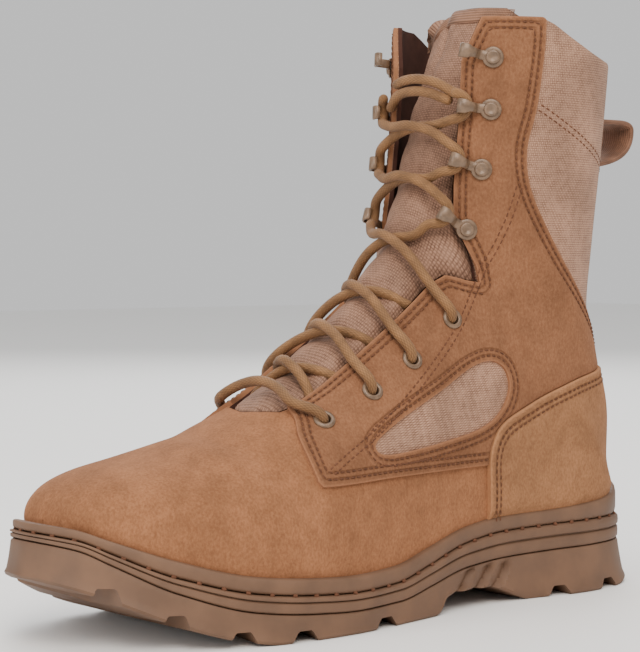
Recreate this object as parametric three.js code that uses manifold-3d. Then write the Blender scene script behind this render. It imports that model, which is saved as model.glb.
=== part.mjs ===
// Left combat boot: suede and nylon upper on a stitched rubber sole, laced through eyelets and hooks.
// Millimetres. +X is the boot's lateral side, -Y the toe, +Z up. The origin is the middle of the
// heel's flat spot, on the floor.
import * as THREE from 'three';
import { mergeVertices } from 'three/addons/utils/BufferGeometryUtils.js';
import Module from 'manifold-3d';

const wasm = await Module();
wasm.setup();

// The last
const lastLength = 291.5; // foot line, back of the heel to the tip of the toe
const ballWidth = 103.5; // upper at its widest
const shaftWidth = 90; // leg at the collar
const instepHeight = 144; // front of the ankle, where the foot turns into the leg
const collarHeight = 250; // leather's top edge at the front
const collarBackHeight = 234;
const heelSpot = 45; // back of the heel to the middle of its flat spot

// Heights of the sole's lines
const heelHeight = 37.5; // welt's top edge beside the heel
const heelCupHeight = 46; // welt's top edge behind the heel
const ballHeight = 22.5; // welt's top edge beside the ball
const toeHeight = 46; // welt's top edge in front of the toe
const toeSpring = 26; // outsole's lift at the toe
const archLift = 7.9; // outsole's lift between heel and forefoot

// Thicknesses
const wall = 2.2; // vamp leather with its lining
const quarterLeather = 1.6;
const counterLeather = 2.1;
const tonguePadding = 5.5;
const insoleThickness = 4;
const weltBand = 6.3;
const toeNarrowing = 0.45; // share of weltBand lost round the toe
const midsoleAtHeel = 11;
const midsoleAtBall = 7;
const midsoleAtToe = 3.2;
const gap = 0.3; // between pieces that touch
const weltClearance = 0.5; // rubber around the upper's foot

// Edges and openings
const soleReach = 7; // sole's edge outside the foot line, beside the ball
const weltSetback = 1.6; // welt's edge inside the outsole's edge
const toeFlare = 2.5; // outsole's foot in front of its own top edge
const heelFlare = 3.5; // outsole's foot around the heel, outside its own top edge
const heelFlareEnd = 0.28; // share of lastLength
const treadDepth = 4.5;
const treadWidth = 7;
const throatGap = 21; // half the opening between the two facings

// Hardware and lace
const eyeletHole = 2.5; // radius
const eyeletTube = 0.5;
const eyeletFlange = 4.6; // radius
const flangeThickness = 0.8;
const flangeRound = 0.5; // flange's top narrower than its foot
const hookPlate = 4.6; // radius
const hookSheet = 1.1;
const hookWidth = 6.4;
const hookLift = 5.2; // clear height under the hook's tip
const rivetHead = 3.2; // radius
const laceDiameter = 4.4;
const loopWidth = 21;
const loopBand = 1.8;
const loopDepth = 31; // pull loop's reach behind the boot
const loopSag = 2; // pull loop's lower run drops this much less than its end

// Fineness of the faceted surfaces
const sectionCount = 23;
const stationCount = 20;
const roundSides = 8;

const table = (columns, rows) => rows.map(
  (row) => Object.fromEntries(columns.split(' ').map((name, i) => [name, row[i]])));

// Last's sections from toe to instep. Each joins a point of the foot line to a point of the front
// line. back and front are shares of lastLength, rise of the instep, lateral, medial and drift of
// ballWidth. belly is where the section is widest, roundness 2 for an ellipse.
const footSections = table('back front rise lateral medial belly roundness drift', [
  [1.000, 1.000, 0.330, 0.058, 0.052, 0.50, 2.0, -0.087],
  [0.997, 0.990, 0.382, 0.164, 0.142, 0.45, 2.1, -0.087],
  [0.981, 0.964, 0.424, 0.271, 0.228, 0.42, 2.2, -0.085],
  [0.937, 0.919, 0.455, 0.386, 0.328, 0.38, 2.3, -0.077],
  [0.865, 0.847, 0.485, 0.473, 0.416, 0.34, 2.3, -0.058],
  [0.782, 0.772, 0.526, 0.512, 0.470, 0.32, 2.2, -0.029],
  [0.703, 0.703, 0.582, 0.517, 0.493, 0.30, 2.1, -0.010],
  [0.617, 0.642, 0.650, 0.493, 0.473, 0.30, 2.0, 0],
  [0.532, 0.580, 0.743, 0.454, 0.444, 0.32, 2.0, 0],
  [0.439, 0.525, 0.833, 0.415, 0.406, 0.36, 2.0, 0],
  [0.343, 0.480, 0.917, 0.386, 0.377, 0.40, 2.0, 0],
  [0.240, 0.444, 1.000, 0.372, 0.367, 0.42, 2.0, 0],
]);

// Sections from instep to collar. The last five start on the boot's back line, at backRise.
// rise above 1 is a share of the leg, and both widths are shares of shaftWidth.
const legSections = table('back backRise front rise lateral medial belly roundness', [
  [0.137, null, 0.420, 1.094, 0.422, 0.422, 0.44, 2.0],
  [0.062, null, 0.405, 1.179, 0.422, 0.422, 0.46, 2.0],
  [0.012, null, 0.399, 1.222, 0.422, 0.422, 0.465, 2.0],
  [0.006, 0.306, 0.394, 1.264, 0.422, 0.422, 0.47, 2.1],
  [0.005, 0.431, 0.386, 1.340, 0.428, 0.428, 0.48, 2.1],
  [0.029, 0.590, 0.377, 1.425, 0.433, 0.433, 0.49, 2.1],
  [0.051, 0.799, 0.369, 1.528, 0.439, 0.439, 0.50, 2.1],
  [0.043, 1.038, 0.362, 1.642, 0.456, 0.456, 0.50, 2.1],
  [0.030, 1.387, 0.357, 1.774, 0.478, 0.478, 0.50, 2.1],
  [0.015, 1.849, 0.350, 2.019, 0.500, 0.500, 0.50, 2.1],
  [0.010, 2.000, 0.346, 2.151, 0.500, 0.500, 0.50, 2.1],
]);

// Foot line seen from above: half widths on both sides of the last's middle, shares of ballWidth.
const footPlan = table('at lateral medial drift', [
  [0.000, 0.000, 0.000, 0],
  [0.007, 0.087, 0.087, 0],
  [0.017, 0.155, 0.155, 0],
  [0.041, 0.242, 0.242, 0],
  [0.086, 0.314, 0.314, 0],
  [0.154, 0.343, 0.338, 0],
  [0.257, 0.333, 0.304, 0],
  [0.377, 0.345, 0.290, 0],
  [0.515, 0.408, 0.353, 0],
  [0.635, 0.462, 0.420, 0],
  [0.738, 0.473, 0.444, -0.016],
  [0.840, 0.435, 0.390, -0.052],
  [0.909, 0.362, 0.308, -0.072],
  [0.960, 0.256, 0.212, -0.083],
  [0.988, 0.150, 0.122, -0.087],
  [1.000, 0.000, 0.000, -0.087],
]);

const between = (low, high, share) => low + (high - low) * share;

// Welt's top edge, as seen from the side.
const weltLine = table('at height', [
  [0.00, heelCupHeight],
  [0.04, between(heelHeight, heelCupHeight, 0.52)],
  [0.10, between(heelHeight, heelCupHeight, 0.18)],
  [0.20, heelHeight],
  [0.31, between(ballHeight, heelHeight, 0.96)],
  [0.39, between(ballHeight, heelHeight, 0.78)],
  [0.48, between(ballHeight, heelHeight, 0.35)],
  [0.55, between(ballHeight, heelHeight, 0.05)],
  [0.63, ballHeight],
  [0.71, between(ballHeight, toeHeight, 0.05)],
  [0.80, between(ballHeight, toeHeight, 0.17)],
  [0.90, between(ballHeight, toeHeight, 0.50)],
  [0.97, between(ballHeight, toeHeight, 0.84)],
  [1.00, toeHeight],
  [1.03, between(ballHeight, toeHeight, 1.06)],
]);

// Ground line: flat under the heel and the ball, raised at the arch and the toe.
const groundLine = table('at height', [
  [-0.03, 0.16 * toeSpring],
  [0.01, 0.05 * toeSpring],
  [0.05, 0],
  [0.262, 0],
  [0.285, 0.25 * archLift],
  [0.31, 0.62 * archLift],
  [0.335, 0.9 * archLift],
  [0.38, archLift],
  [0.42, 0.95 * archLift],
  [0.440, 0.85 * archLift],
  [0.458, 0.1 * archLift],
  [0.470, 0],
  [0.760, 0],
  [0.83, 0.12 * toeSpring],
  [0.91, 0.42 * toeSpring],
  [1.00, 0.88 * toeSpring],
  [1.03, toeSpring],
]);

const midsoleLine = table('at thickness', [
  [0.00, midsoleAtHeel],
  [0.30, midsoleAtHeel],
  [0.48, between(midsoleAtBall, midsoleAtHeel, 0.35)],
  [0.60, midsoleAtBall],
  [0.80, midsoleAtBall],
  [1.00, between(midsoleAtToe, midsoleAtBall, 0.15)],
  [1.03, midsoleAtToe],
]);

// Sole's reach outside the foot line, a share of soleReach.
const reachLine = table('at reach', [
  [0.00, 0.85],
  [0.15, 0.75],
  [0.40, 0.85],
  [0.70, 1.05],
  [0.90, 1.15],
  [1.00, 1.20],
]);

// Throat between the facings: half gap by the height of the front line, with its round start
// over the vamp, the notch at the ankle and the round corners at the collar.
const throat = table('rise gap', [
  [0.598, 0.40],
  [0.612, 0.80],
  [0.640, 0.95],
  [0.700, 1.00],
  [1.040, 1.05],
  [1.100, 1.10],
  [1.150, 1.28],
  [1.185, 1.38],
  [1.225, 1.26],
  [1.280, 1.03],
  [1.400, 0.98],
  [1.840, 0.98],
  [1.930, 1.10],
  [2.020, 1.22],
  [2.140, 1.40],
]);

// Rising cubic through the rows of a table, without overshoot, and flat beyond its ends.
function smooth(rows, input, output) {
  const xs = rows.map((row) => row[input]);
  const ys = rows.map((row) => row[output]);
  const slopes = xs.slice(1).map((x, i) => (ys[i + 1] - ys[i]) / (x - xs[i]));
  const tangent = xs.map((_, i) => {
    if (i === 0) return slopes[0];
    if (i === xs.length - 1) return slopes[i - 1];
    if (slopes[i - 1] * slopes[i] <= 0) return 0;
    return 2 / (1 / slopes[i - 1] + 1 / slopes[i]);
  });
  return (x) => {
    if (x <= xs[0]) return ys[0];
    if (x >= xs[xs.length - 1]) return ys[ys.length - 1];
    const i = xs.findIndex((next) => next > x) - 1;
    const step = xs[i + 1] - xs[i];
    const t = (x - xs[i]) / step;
    const swing = 3 * t * t - 2 * t * t * t;
    return ys[i] + (ys[i + 1] - ys[i]) * swing
      + step * ((t ** 3 - 2 * t * t + t) * tangent[i] + (t ** 3 - t * t) * tangent[i + 1]);
  };
}

// Height of a share: 0 the floor, 1 the instep, 2 the collar.
function level(rise) {
  if (rise <= 1) return rise * instepHeight;
  return instepHeight + (rise - 1) * (collarHeight - instepHeight);
}

const weltTop = smooth(weltLine, 'at', 'height');
const ground = smooth(groundLine, 'at', 'height');
const midsoleThickness = smooth(midsoleLine, 'at', 'thickness');
const reach = smooth(reachLine, 'at', 'reach');
const planLateral = smooth(footPlan, 'at', 'lateral');
const planMedial = smooth(footPlan, 'at', 'medial');
const planDrift = smooth(footPlan, 'at', 'drift');
const footTrim = 1.5; // cut away again where the upper meets the sole
const heelSeatEnd = 0.2; // the foot line stays level behind this share of lastLength
const bandAt = (at) => weltBand * (1 - toeNarrowing * THREE.MathUtils.smoothstep(at, 0.9, 1.03));
const footLine = (at) => weltTop(Math.max(at, heelSeatEnd)) - bandAt(at);
const midsoleBottom = (at) => footLine(at) - midsoleThickness(at);

// All sections in millimetres, with the foot line's half widths where a section starts on it.
const sections = [...footSections, ...legSections].map((row) => {
  const onFoot = !row.backRise;
  const breadth = row.drift === undefined ? shaftWidth : ballWidth;
  return {
    back: row.back * lastLength,
    backUp: onFoot ? footLine(row.back) : level(row.backRise),
    front: row.front * lastLength,
    frontUp: level(row.rise),
    lateral: row.lateral * breadth,
    medial: row.medial * breadth,
    footLateral: onFoot ? planLateral(row.back) * ballWidth : 0,
    footMedial: onFoot ? planMedial(row.back) * ballWidth : 0,
    belly: row.belly,
    roundness: row.roundness,
    drift: (row.drift ?? 0) * ballWidth,
  };
}).map((row, index) => ({ ...row, index }));

const sectionAt = Object.fromEntries(
  Object.keys(sections[0]).map((name) => [name, smooth(sections, 'index', name)]));
const lastSection = sections.length - 1;
const lastOnFoot = sections.findIndex((row) => row.footLateral === 0 && row.back < lastLength / 2) - 1;
const sectionOfFront = smooth(sections, 'frontUp', 'index');

// Point of the last's surface. side is 1 or -1, angle runs from -90 at the foot line over the
// widest point at 0 to 90 at the front line.
function lastPoint(section, side, angle) {
  const value = (name) => sectionAt[name](section);
  const width = side > 0 ? value('lateral') : value('medial');
  const at = value('back') / lastLength;
  const onFoot = section <= lastOnFoot;
  const plan = side > 0 ? planLateral : planMedial;
  const foot = onFoot ? plan(at) * ballWidth : value(side > 0 ? 'footLateral' : 'footMedial');
  const backUp = onFoot ? footLine(at) - footTrim : value('backUp');
  const sine = Math.abs(Math.sin(angle));
  const cosine = Math.abs(Math.cos(angle));
  const power = 2 / value('roundness');
  const belly = value('belly');
  const x = angle >= 0 ? width * cosine ** power : foot + (width - foot) * cosine;
  const share = angle >= 0 ? belly + (1 - belly) * sine ** power : belly * (1 - sine);
  const along = between(value('back'), value('front'), share);
  return new THREE.Vector3(
    value('drift') + side * x,
    heelSpot - along,
    between(backUp, value('frontUp'), share),
  );
}

// The same point lifted off the surface by a distance, along the surface's own normal, or out and
// down at the corner of the foot line.
function lifted(section, side, angle, lift) {
  const step = 0.02;
  const before = lastPoint(Math.max(0, section - step), side, angle);
  const after = lastPoint(Math.min(lastSection, section + step), side, angle);
  const alongLast = after.sub(before);
  const onSeam = Math.abs(Math.abs(angle) - Math.PI / 2) < 1e-6;
  const around = onSeam
    ? new THREE.Vector3(angle > 0 ? -side : side, 0, 0)
    : lastPoint(section, side, angle + step).sub(lastPoint(section, side, angle - step));
  const normal = new THREE.Vector3().crossVectors(alongLast, around).multiplyScalar(side).normalize();
  const start = lastPoint(section, side, angle);
  if (onSeam && angle < 0 && Math.abs(start.x - sectionAt.drift(section)) > 0.01) {
    const outward = new THREE.Vector3(alongLast.y, -alongLast.x, 0).normalize();
    normal.add(outward.x * side < 0 ? outward.negate() : outward);
  }
  return { point: start.addScaledVector(normal, lift), normal };
}

// Closed solid from points and triangles. Points that coincide become one.
function solidOf(points, faces) {
  const geometry = new THREE.BufferGeometry().setFromPoints(points);
  geometry.setIndex(faces.flat());
  return solidOfGeometry(geometry);
}

function solidOfGeometry(source, matrix = new THREE.Matrix4()) {
  const bare = source.clone().applyMatrix4(matrix);
  bare.deleteAttribute('normal');
  bare.deleteAttribute('uv');
  const merged = mergeVertices(bare, 1e-4);
  const index = merged.getIndex().array;
  const corners = [];
  for (let i = 0; i < index.length; i += 3) {
    const [a, b, c] = [index[i], index[i + 1], index[i + 2]];
    if (a !== b && b !== c && c !== a) corners.push(a, b, c);
  }
  const build = (triangles) => new wasm.Manifold(new wasm.Mesh({
    numProp: 3,
    vertProperties: new Float32Array(merged.getAttribute('position').array),
    triVerts: new Uint32Array(triangles),
  }));
  const solid = build(corners);
  return solid.volume() > 0 ? solid : build(corners.reverse());
}

function geometryOf(solid) {
  const mesh = solid.getMesh();
  const geometry = new THREE.BufferGeometry();
  const places = [];
  for (let i = 0; i < mesh.vertProperties.length; i += mesh.numProp) {
    places.push(...mesh.vertProperties.slice(i, i + 3));
  }
  geometry.setAttribute('position', new THREE.Float32BufferAttribute(places, 3));
  geometry.setIndex(Array.from(mesh.triVerts));
  geometry.computeVertexNormals();
  return geometry;
}

// Loft through rings with equal numbers of points. The end rings are closed by caps that cap()
// lists as triangles of one ring's own point numbers.
function loft(rings, cap) {
  const count = rings[0].length;
  const faces = [];
  for (let ring = 0; ring < rings.length - 1; ring += 1) {
    for (let i = 0; i < count; i += 1) {
      const a = ring * count + i;
      const b = ring * count + ((i + 1) % count);
      faces.push([a, b, b + count], [a, b + count, a + count]);
    }
  }
  const end = (rings.length - 1) * count;
  for (const [a, b, c] of cap(count)) faces.push([c, b, a], [end + a, end + b, end + c]);
  return solidOf(rings.flat(), faces);
}

// Cap made of strips across a ring whose two sides mirror each other in order.
function stripCap(count) {
  const faces = [];
  for (let i = 0; i < count / 2 - 1; i += 1) {
    const [a, b, c, d] = [i, i + 1, count - 2 - i, count - 1 - i];
    faces.push([a, b, c], [a, c, d]);
  }
  return faces;
}

const degrees = (angles) => angles.map(THREE.MathUtils.degToRad);
const sideAngles = degrees([-90, -60, -30, 0, 24, 47, 69, 90]);

// The last as a solid, grown or shrunk by lift. It reaches footTrim below the foot line.
function form(lift) {
  const rings = [];
  for (let i = 0; i < sectionCount; i += 1) {
    const section = (i / (sectionCount - 1)) * lastSection;
    const lateral = sideAngles.map((angle) => lifted(section, 1, angle, lift).point);
    const medial = sideAngles.map((angle) => lifted(section, -1, angle, lift).point);
    rings.push([...lateral, ...medial.reverse()]);
  }
  return loft(rings, stripCap);
}

// Outline of the sole or of the foot, seen from above, pushed out by a distance of each station.
function outline(push) {
  const sideOf = (side) => {
    const points = [];
    for (let i = 0; i <= stationCount; i += 1) {
      const at = (1 - Math.cos((i / stationCount) * Math.PI)) / 2;
      const half = (side > 0 ? planLateral(at) : planMedial(at)) * ballWidth;
      const middle = planDrift(at) * ballWidth;
      points.push({ at, place: new THREE.Vector2(middle + side * half, at * lastLength) });
    }
    return points;
  };
  const both = [...sideOf(1), ...sideOf(-1).reverse()];
  const tips = new Set([0, stationCount, stationCount + 1, both.length - 1]);
  return both.map(({ at, place }, i) => {
    const tipWay = at < 0.5 ? -1 : 1;
    const before = both[Math.max(0, i - 1)].place;
    const after = both[Math.min(both.length - 1, i + 1)].place;
    const chord = after.clone().sub(before);
    const outward = new THREE.Vector2(chord.y, -chord.x).normalize();
    const way = tips.has(i) ? new THREE.Vector2(0, tipWay) : outward;
    return place.clone().addScaledVector(way, push(at));
  });
}

// Layer of the sole: rings from the bottom up, each with its push and its height along the boot.
function soleLayer(levels) {
  const rings = levels.map(({ push, height }) => outline(push).map(
    (place) => new THREE.Vector3(place.x, heelSpot - place.y, height(place.y / lastLength))));
  return loft(rings, stripCap);
}

const soleEdge = (extra) => (at) => soleReach * reach(at) + extra;

// Side view: along and up from shares of the last's length and of its height.
const inSide = (at, rise) => new THREE.Vector2(at * lastLength, level(rise));

// Prism across the boot, from x = from to x = to, with an outline drawn in the side view.
function prism(shape, from, to) {
  const settings = { depth: to - from, bevelEnabled: false, curveSegments: 2 };
  const geometry = new THREE.ExtrudeGeometry(shape, settings);
  const matrix = new THREE.Matrix4().makeBasis(
    new THREE.Vector3(0, -1, 0), new THREE.Vector3(0, 0, 1), new THREE.Vector3(-1, 0, 0));
  matrix.setPosition(to, heelSpot, 0);
  return solidOfGeometry(geometry, matrix);
}

const polygon = (points) => new THREE.Shape(points);
const farSide = 90; // beyond the boot's sides

// Point of the surface found by its place in the side view.
function sidePoint(side, at, rise, lift) {
  const target = inSide(at, rise);
  const distance = (section, angle) => {
    const point = lastPoint(section, side, angle);
    return Math.hypot(heelSpot - point.y - target.x, point.z - target.y);
  };
  let best = { section: lastSection / 2, angle: 0 };
  let span = { section: lastSection / 2, angle: Math.PI / 4 };
  let centre = { section: lastSection / 2, angle: Math.PI / 4 };
  for (let pass = 0; pass < 9; pass += 1) {
    let nearest = Infinity;
    for (let i = -6; i <= 6; i += 1) {
      for (let j = -6; j <= 6; j += 1) {
        const section = THREE.MathUtils.clamp(centre.section + (i / 6) * span.section, 0, lastSection);
        const angle = THREE.MathUtils.clamp(centre.angle + (j / 6) * span.angle, 0, Math.PI / 2 - 0.01);
        const off = distance(section, angle);
        if (off < nearest) {
          nearest = off;
          best = { section, angle };
        }
      }
    }
    centre = best;
    span = { section: span.section / 3, angle: span.angle / 3 };
  }
  return lifted(best.section, side, best.angle, lift);
}

// Point of the surface on the front of the boot, by the front line's height and its own x.
function frontPoint(rise, x, lift) {
  const section = sectionOfFront(level(rise));
  const side = x < 0 ? -1 : 1;
  const width = side > 0 ? sectionAt.lateral(section) : sectionAt.medial(section);
  const share = Math.min(0.98, Math.abs(x - sectionAt.drift(section)) / width);
  const angle = Math.acos(share ** (sectionAt.roundness(section) / 2));
  return lifted(section, side, angle, lift).point;
}

const hollow = form(-wall);
const outside = form(0);
const clearOfUpper = form(gap);

// Throat, collar and foot openings. The throat is cut along each section, from its middle to
// beyond the front line.
const throatInner = 0.62; // share of the section
const throatOuter = 1.25;
const throatCut = loft(throat.map(({ rise, gap: share }) => {
  const section = sectionOfFront(level(rise));
  const half = share * throatGap;
  const inSection = (depth, x) => new THREE.Vector3(
    x,
    heelSpot - between(sectionAt.back(section), sectionAt.front(section), depth),
    between(sectionAt.backUp(section), sectionAt.frontUp(section), depth),
  );
  return [
    inSection(throatInner, half), inSection(throatOuter, half),
    inSection(throatOuter, -half), inSection(throatInner, -half),
  ];
}), stripCap);

const collarFlatEnd = 0.24; // share of lastLength where the level leather edge ends
const collarCut = prism(polygon([
  inSide(0.6, 2), inSide(collarFlatEnd, 2),
  new THREE.Vector2(0.08 * lastLength, collarBackHeight),
  new THREE.Vector2(-0.1 * lastLength, collarBackHeight),
  inSide(-0.1, 2.6), inSide(0.6, 2.6),
]), -farSide, farSide);

const openingHeight = 2.5; // lasted edge cleared above the foot line
const footOpening = soleLayer([
  { push: () => -wall, height: () => -1 },
  { push: () => -wall, height: (at) => footLine(at) + openingHeight },
]);
const belowFoot = soleLayer([
  { push: () => soleReach, height: () => -1 },
  { push: () => soleReach, height: footLine },
]);

// Side view outlines of the overlays
const counterOutline = new THREE.Shape();
counterOutline.moveTo(...inSide(-0.1, 0.1).toArray());
counterOutline.lineTo(...inSide(0.340, 0.1).toArray());
counterOutline.lineTo(...inSide(0.347, 0.414).toArray());
counterOutline.splineThru([
  inSide(0.342, 0.458), inSide(0.325, 0.514), inSide(0.255, 0.581), inSide(0.179, 0.635),
]);
counterOutline.lineTo(...inSide(0.102, 0.667).toArray());
counterOutline.lineTo(...inSide(-0.1, 0.720).toArray());

const quarterOutline = new THREE.Shape();
quarterOutline.moveTo(...inSide(0.60, 0.95).toArray());
quarterOutline.lineTo(...inSide(0.664, 0.592).toArray());
quarterOutline.splineThru([inSide(0.685, 0.525), inSide(0.690, 0.450)]);
quarterOutline.lineTo(...inSide(0.673, 0.403).toArray());
quarterOutline.lineTo(...inSide(0.538, 0.410).toArray());
quarterOutline.lineTo(...inSide(-0.1, 0.412).toArray());
quarterOutline.lineTo(...inSide(-0.1, 0.700).toArray());
quarterOutline.lineTo(...inSide(0.048, 0.750).toArray());
quarterOutline.splineThru([
  inSide(0.122, 0.861), inSide(0.207, 1.061), inSide(0.256, 1.305), inSide(0.264, 1.466),
  inSide(0.254, 1.627),
]);
quarterOutline.lineTo(...inSide(collarFlatEnd, 2.1).toArray());
quarterOutline.lineTo(...inSide(0.6, 2.1).toArray());

const windowOutline = new THREE.Shape();
windowOutline.moveTo(...inSide(0.581, 0.490).toArray());
windowOutline.splineThru([
  inSide(0.573, 0.470), inSide(0.448, 0.492), inSide(0.361, 0.524), inSide(0.318, 0.572),
  inSide(0.302, 0.645), inSide(0.314, 0.696), inSide(0.332, 0.715),
]);
windowOutline.splineThru([
  inSide(0.372, 0.700), inSide(0.436, 0.642), inSide(0.520, 0.565), inSide(0.577, 0.505),
]);

// Eyelets and hooks, by their places in the side view
const eyeletPlaces = table('at rise', [
  [0.637, 0.566],
  [0.552, 0.642],
  [0.475, 0.726],
  [0.392, 0.840],
]);
const hookPlaces = table('rivetAt rivetRise tipAt tipRise', [
  [0.345, 1.142, 0.372, 1.200],
  [0.325, 1.384, 0.352, 1.418],
  [0.313, 1.625, 0.340, 1.636],
  [0.310, 1.834, 0.337, 1.858],
]);

const quarterTop = gap + quarterLeather;
const seatClearance = 0.35; // flat metal on the curved leather
const barrelRadius = eyeletHole + eyeletTube;

// Matrix that stands +Z on a surface's normal with +X along a given way.
function standing({ point, normal }, way) {
  const across = new THREE.Vector3().crossVectors(normal, way).normalize();
  const ahead = new THREE.Vector3().crossVectors(across, normal).normalize();
  return new THREE.Matrix4().makeBasis(ahead, across, normal).setPosition(point);
}

const sides = [['lateral', 1], ['medial', -1]];
const eyelets = sides.flatMap(([name, side]) => eyeletPlaces.map(({ at, rise }, i) => {
  const place = sidePoint(side, at, rise, 0);
  return { name: `eyelet_${name}_${i + 1}`, matrix: standing(place, new THREE.Vector3(0, 0, 1)) };
}));
const boreLength = 16; // through the leather and its overlay, with room on both sides
const boreRadius = (barrelRadius + gap) / Math.cos(Math.PI / roundSides);
const eyeletBores = eyelets.map(({ matrix }) => {
  const bore = new THREE.CylinderGeometry(boreRadius, boreRadius, boreLength, roundSides);
  bore.rotateX(Math.PI / 2);
  return solidOfGeometry(bore, matrix);
});

const cutAll = (solid, tools) => tools.reduce((left, tool) => left.subtract(tool), solid);

// Everything below the welt's top edge, so that overlays stop just above it.
const belowWelt = soleLayer([
  { push: soleEdge(weltSetback), height: () => -1 },
  { push: soleEdge(weltSetback), height: (at) => weltTop(at) + gap },
]);

const leatherLayer = (thickness) => form(gap + thickness).subtract(clearOfUpper);

function makeUpper() {
  return cutAll(outside, [hollow, belowFoot, footOpening, throatCut, collarCut, ...eyeletBores]);
}

function makeQuarter(layer, side) {
  const half = side > 0 ? [gap / 2, farSide] : [-farSide, -gap / 2];
  const counterPlace = prism(counterOutline, -farSide, farSide);
  return cutAll(layer.intersect(prism(quarterOutline, ...half)), [
    prism(windowOutline, ...half), counterPlace, throatCut, collarCut, ...eyeletBores,
  ]);
}

function makeCounter() {
  const inset = form(gap + counterLeather).subtract(clearOfUpper);
  const edge = prism(shrink(counterOutline, gap), -farSide, farSide);
  return inset.intersect(edge).subtract(belowWelt);
}

// The same outline drawn smaller by a distance.
function shrink(shape, distance) {
  const points = shape.getPoints(2);
  const turn = THREE.ShapeUtils.isClockWise(points) ? -1 : 1;
  return polygon(points.map((point, i) => {
    const before = points[(i + points.length - 1) % points.length];
    const after = points[(i + 1) % points.length];
    const chord = after.clone().sub(before).normalize();
    return new THREE.Vector2(point.x - turn * chord.y * distance, point.y + turn * chord.x * distance);
  }));
}

// Tongue: follows the facings from inside and leans back where the boot stands unlaced.
const tongueRows = table('rise half lean', [
  [0.560, 0.9, 0.0],
  [0.700, 1.2, 0.0],
  [0.900, 1.4, 0.0],
  [1.150, 1.5, 0.0],
  [1.400, 1.5, 0.10],
  [1.600, 1.5, 0.25],
  [1.800, 1.5, 0.55],
  [1.950, 1.58, 0.85],
  [2.030, 1.48, 1.00],
  [2.062, 1.20, 1.05],
]);
const tongueLean = 23; // tongue's top edge behind the facings
const tongueSwell = 1.2; // cut back to the facings' own surface
function makeTongue() {
  const half = smooth(tongueRows, 'rise', 'half');
  const lean = smooth(tongueRows, 'rise', 'lean');
  const across = [-1, -0.6, 0, 0.6, 1]; // shares of the half width
  const rows = 12;
  const rings = [];
  for (let i = 0; i < rows; i += 1) {
    const rise = between(tongueRows[0].rise, tongueRows[tongueRows.length - 1].rise, i / (rows - 1));
    const pointAt = (share, depth) => {
      const point = frontPoint(rise, share * half(rise) * throatGap, -wall - gap - depth);
      point.y += lean(rise) * tongueLean;
      return point;
    };
    const face = across.map((share) => pointAt(share, -tongueSwell));
    const back = across.map((share) => pointAt(share, tonguePadding));
    rings.push([...face, ...back.reverse()]);
  }
  return loft(rings, stripCap).intersect(form(-wall - gap));
}

const insoleClearance = 1;
const insoleTuck = 4.5; // more room where the upper curves in behind the heel
function makeInsole() {
  const tuck = (at) => insoleTuck * (1 - THREE.MathUtils.smoothstep(at, 0, 0.1));
  const push = (at) => -wall - insoleClearance - tuck(at);
  return soleLayer([
    { push, height: footLine },
    { push, height: (at) => footLine(at) + insoleThickness },
  ]);
}

function makeWelt() {
  const layer = soleLayer([
    { push: soleEdge(-weltSetback), height: footLine },
    { push: soleEdge(-weltSetback), height: weltTop },
  ]);
  return layer.subtract(form(weltClearance));
}

// Side of the midsole from its bottom up: band, groove, ridge and groove.
const midsoleProfile = table('share push', [
  [0.00, 0.0],
  [0.50, -0.4],
  [0.56, -1.5],
  [0.64, 0.1],
  [0.92, 0.1],
  [1.00, -1.5],
]);
function makeMidsole() {
  return soleLayer(midsoleProfile.map(({ share, push }) => ({
    push: soleEdge(push),
    height: (at) => between(midsoleBottom(at), footLine(at) - gap, share),
  })));
}

// Tread: chevron channels across the outsole, by their place at the edge.
const channels = table('at sweep', [
  [0.085, 0.02],
  [0.195, 0.02],
  [0.565, 0.045],
  [0.712, 0.045],
  [0.806, 0.045],
  [0.898, 0.035],
  [0.978, 0.025],
]);
function makeChannel({ at, sweep }) {
  const edge = at * lastLength;
  const middle = (at - sweep) * lastLength;
  const arm = ballWidth;
  const shape = polygon([
    new THREE.Vector2(-arm, -(edge + sweep * lastLength)),
    new THREE.Vector2(0, -middle),
    new THREE.Vector2(arm, -(edge + sweep * lastLength)),
    new THREE.Vector2(arm, -(edge + sweep * lastLength) - treadWidth),
    new THREE.Vector2(0, -middle - treadWidth),
    new THREE.Vector2(-arm, -(edge + sweep * lastLength) - treadWidth),
  ]);
  const top = ground(at) + treadDepth;
  const channel = new THREE.ExtrudeGeometry(shape, { depth: top + treadDepth, bevelEnabled: false });
  return solidOfGeometry(channel, new THREE.Matrix4().makeTranslation(0, heelSpot, -treadDepth));
}

// Ribs on the outsole's side under the arch
const ribPlaces = [0.335, 0.372, 0.408];
const ribThickness = 2.2;
const ribProud = 0.9;
function makeRib(at) {
  const base = soleLayer([
    { push: soleEdge(ribProud), height: (share) => ground(share) + 2 * gap },
    { push: soleEdge(ribProud), height: (share) => midsoleBottom(share) - 2 * gap },
  ]);
  const slant = 0.02;
  const band = polygon([
    inSide(at, 0), inSide(at + slant, 0.4),
    inSide(at + slant, 0.4).add(new THREE.Vector2(ribThickness, 0)),
    inSide(at, 0).add(new THREE.Vector2(ribThickness, 0)),
  ]);
  return base.intersect(prism(band, -farSide, farSide));
}

function makeOutsole() {
  const flare = (at) => toeFlare * THREE.MathUtils.smoothstep(at, 0.8, 1)
    + heelFlare * (1 - THREE.MathUtils.smoothstep(at, 0.6 * heelFlareEnd, heelFlareEnd));
  const foot = 1.2; // height of the worn edge
  const body = soleLayer([
    { push: (at) => soleEdge(-0.8)(at) + flare(at), height: ground },
    { push: (at) => soleEdge(0)(at) + flare(at), height: (at) => ground(at) + foot },
    { push: soleEdge(-0.2), height: (at) => midsoleBottom(at) - gap },
  ]);
  const ribbed = ribPlaces.reduce((solid, at) => solid.add(makeRib(at)), body);
  return cutAll(ribbed, channels.map(makeChannel));
}

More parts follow.
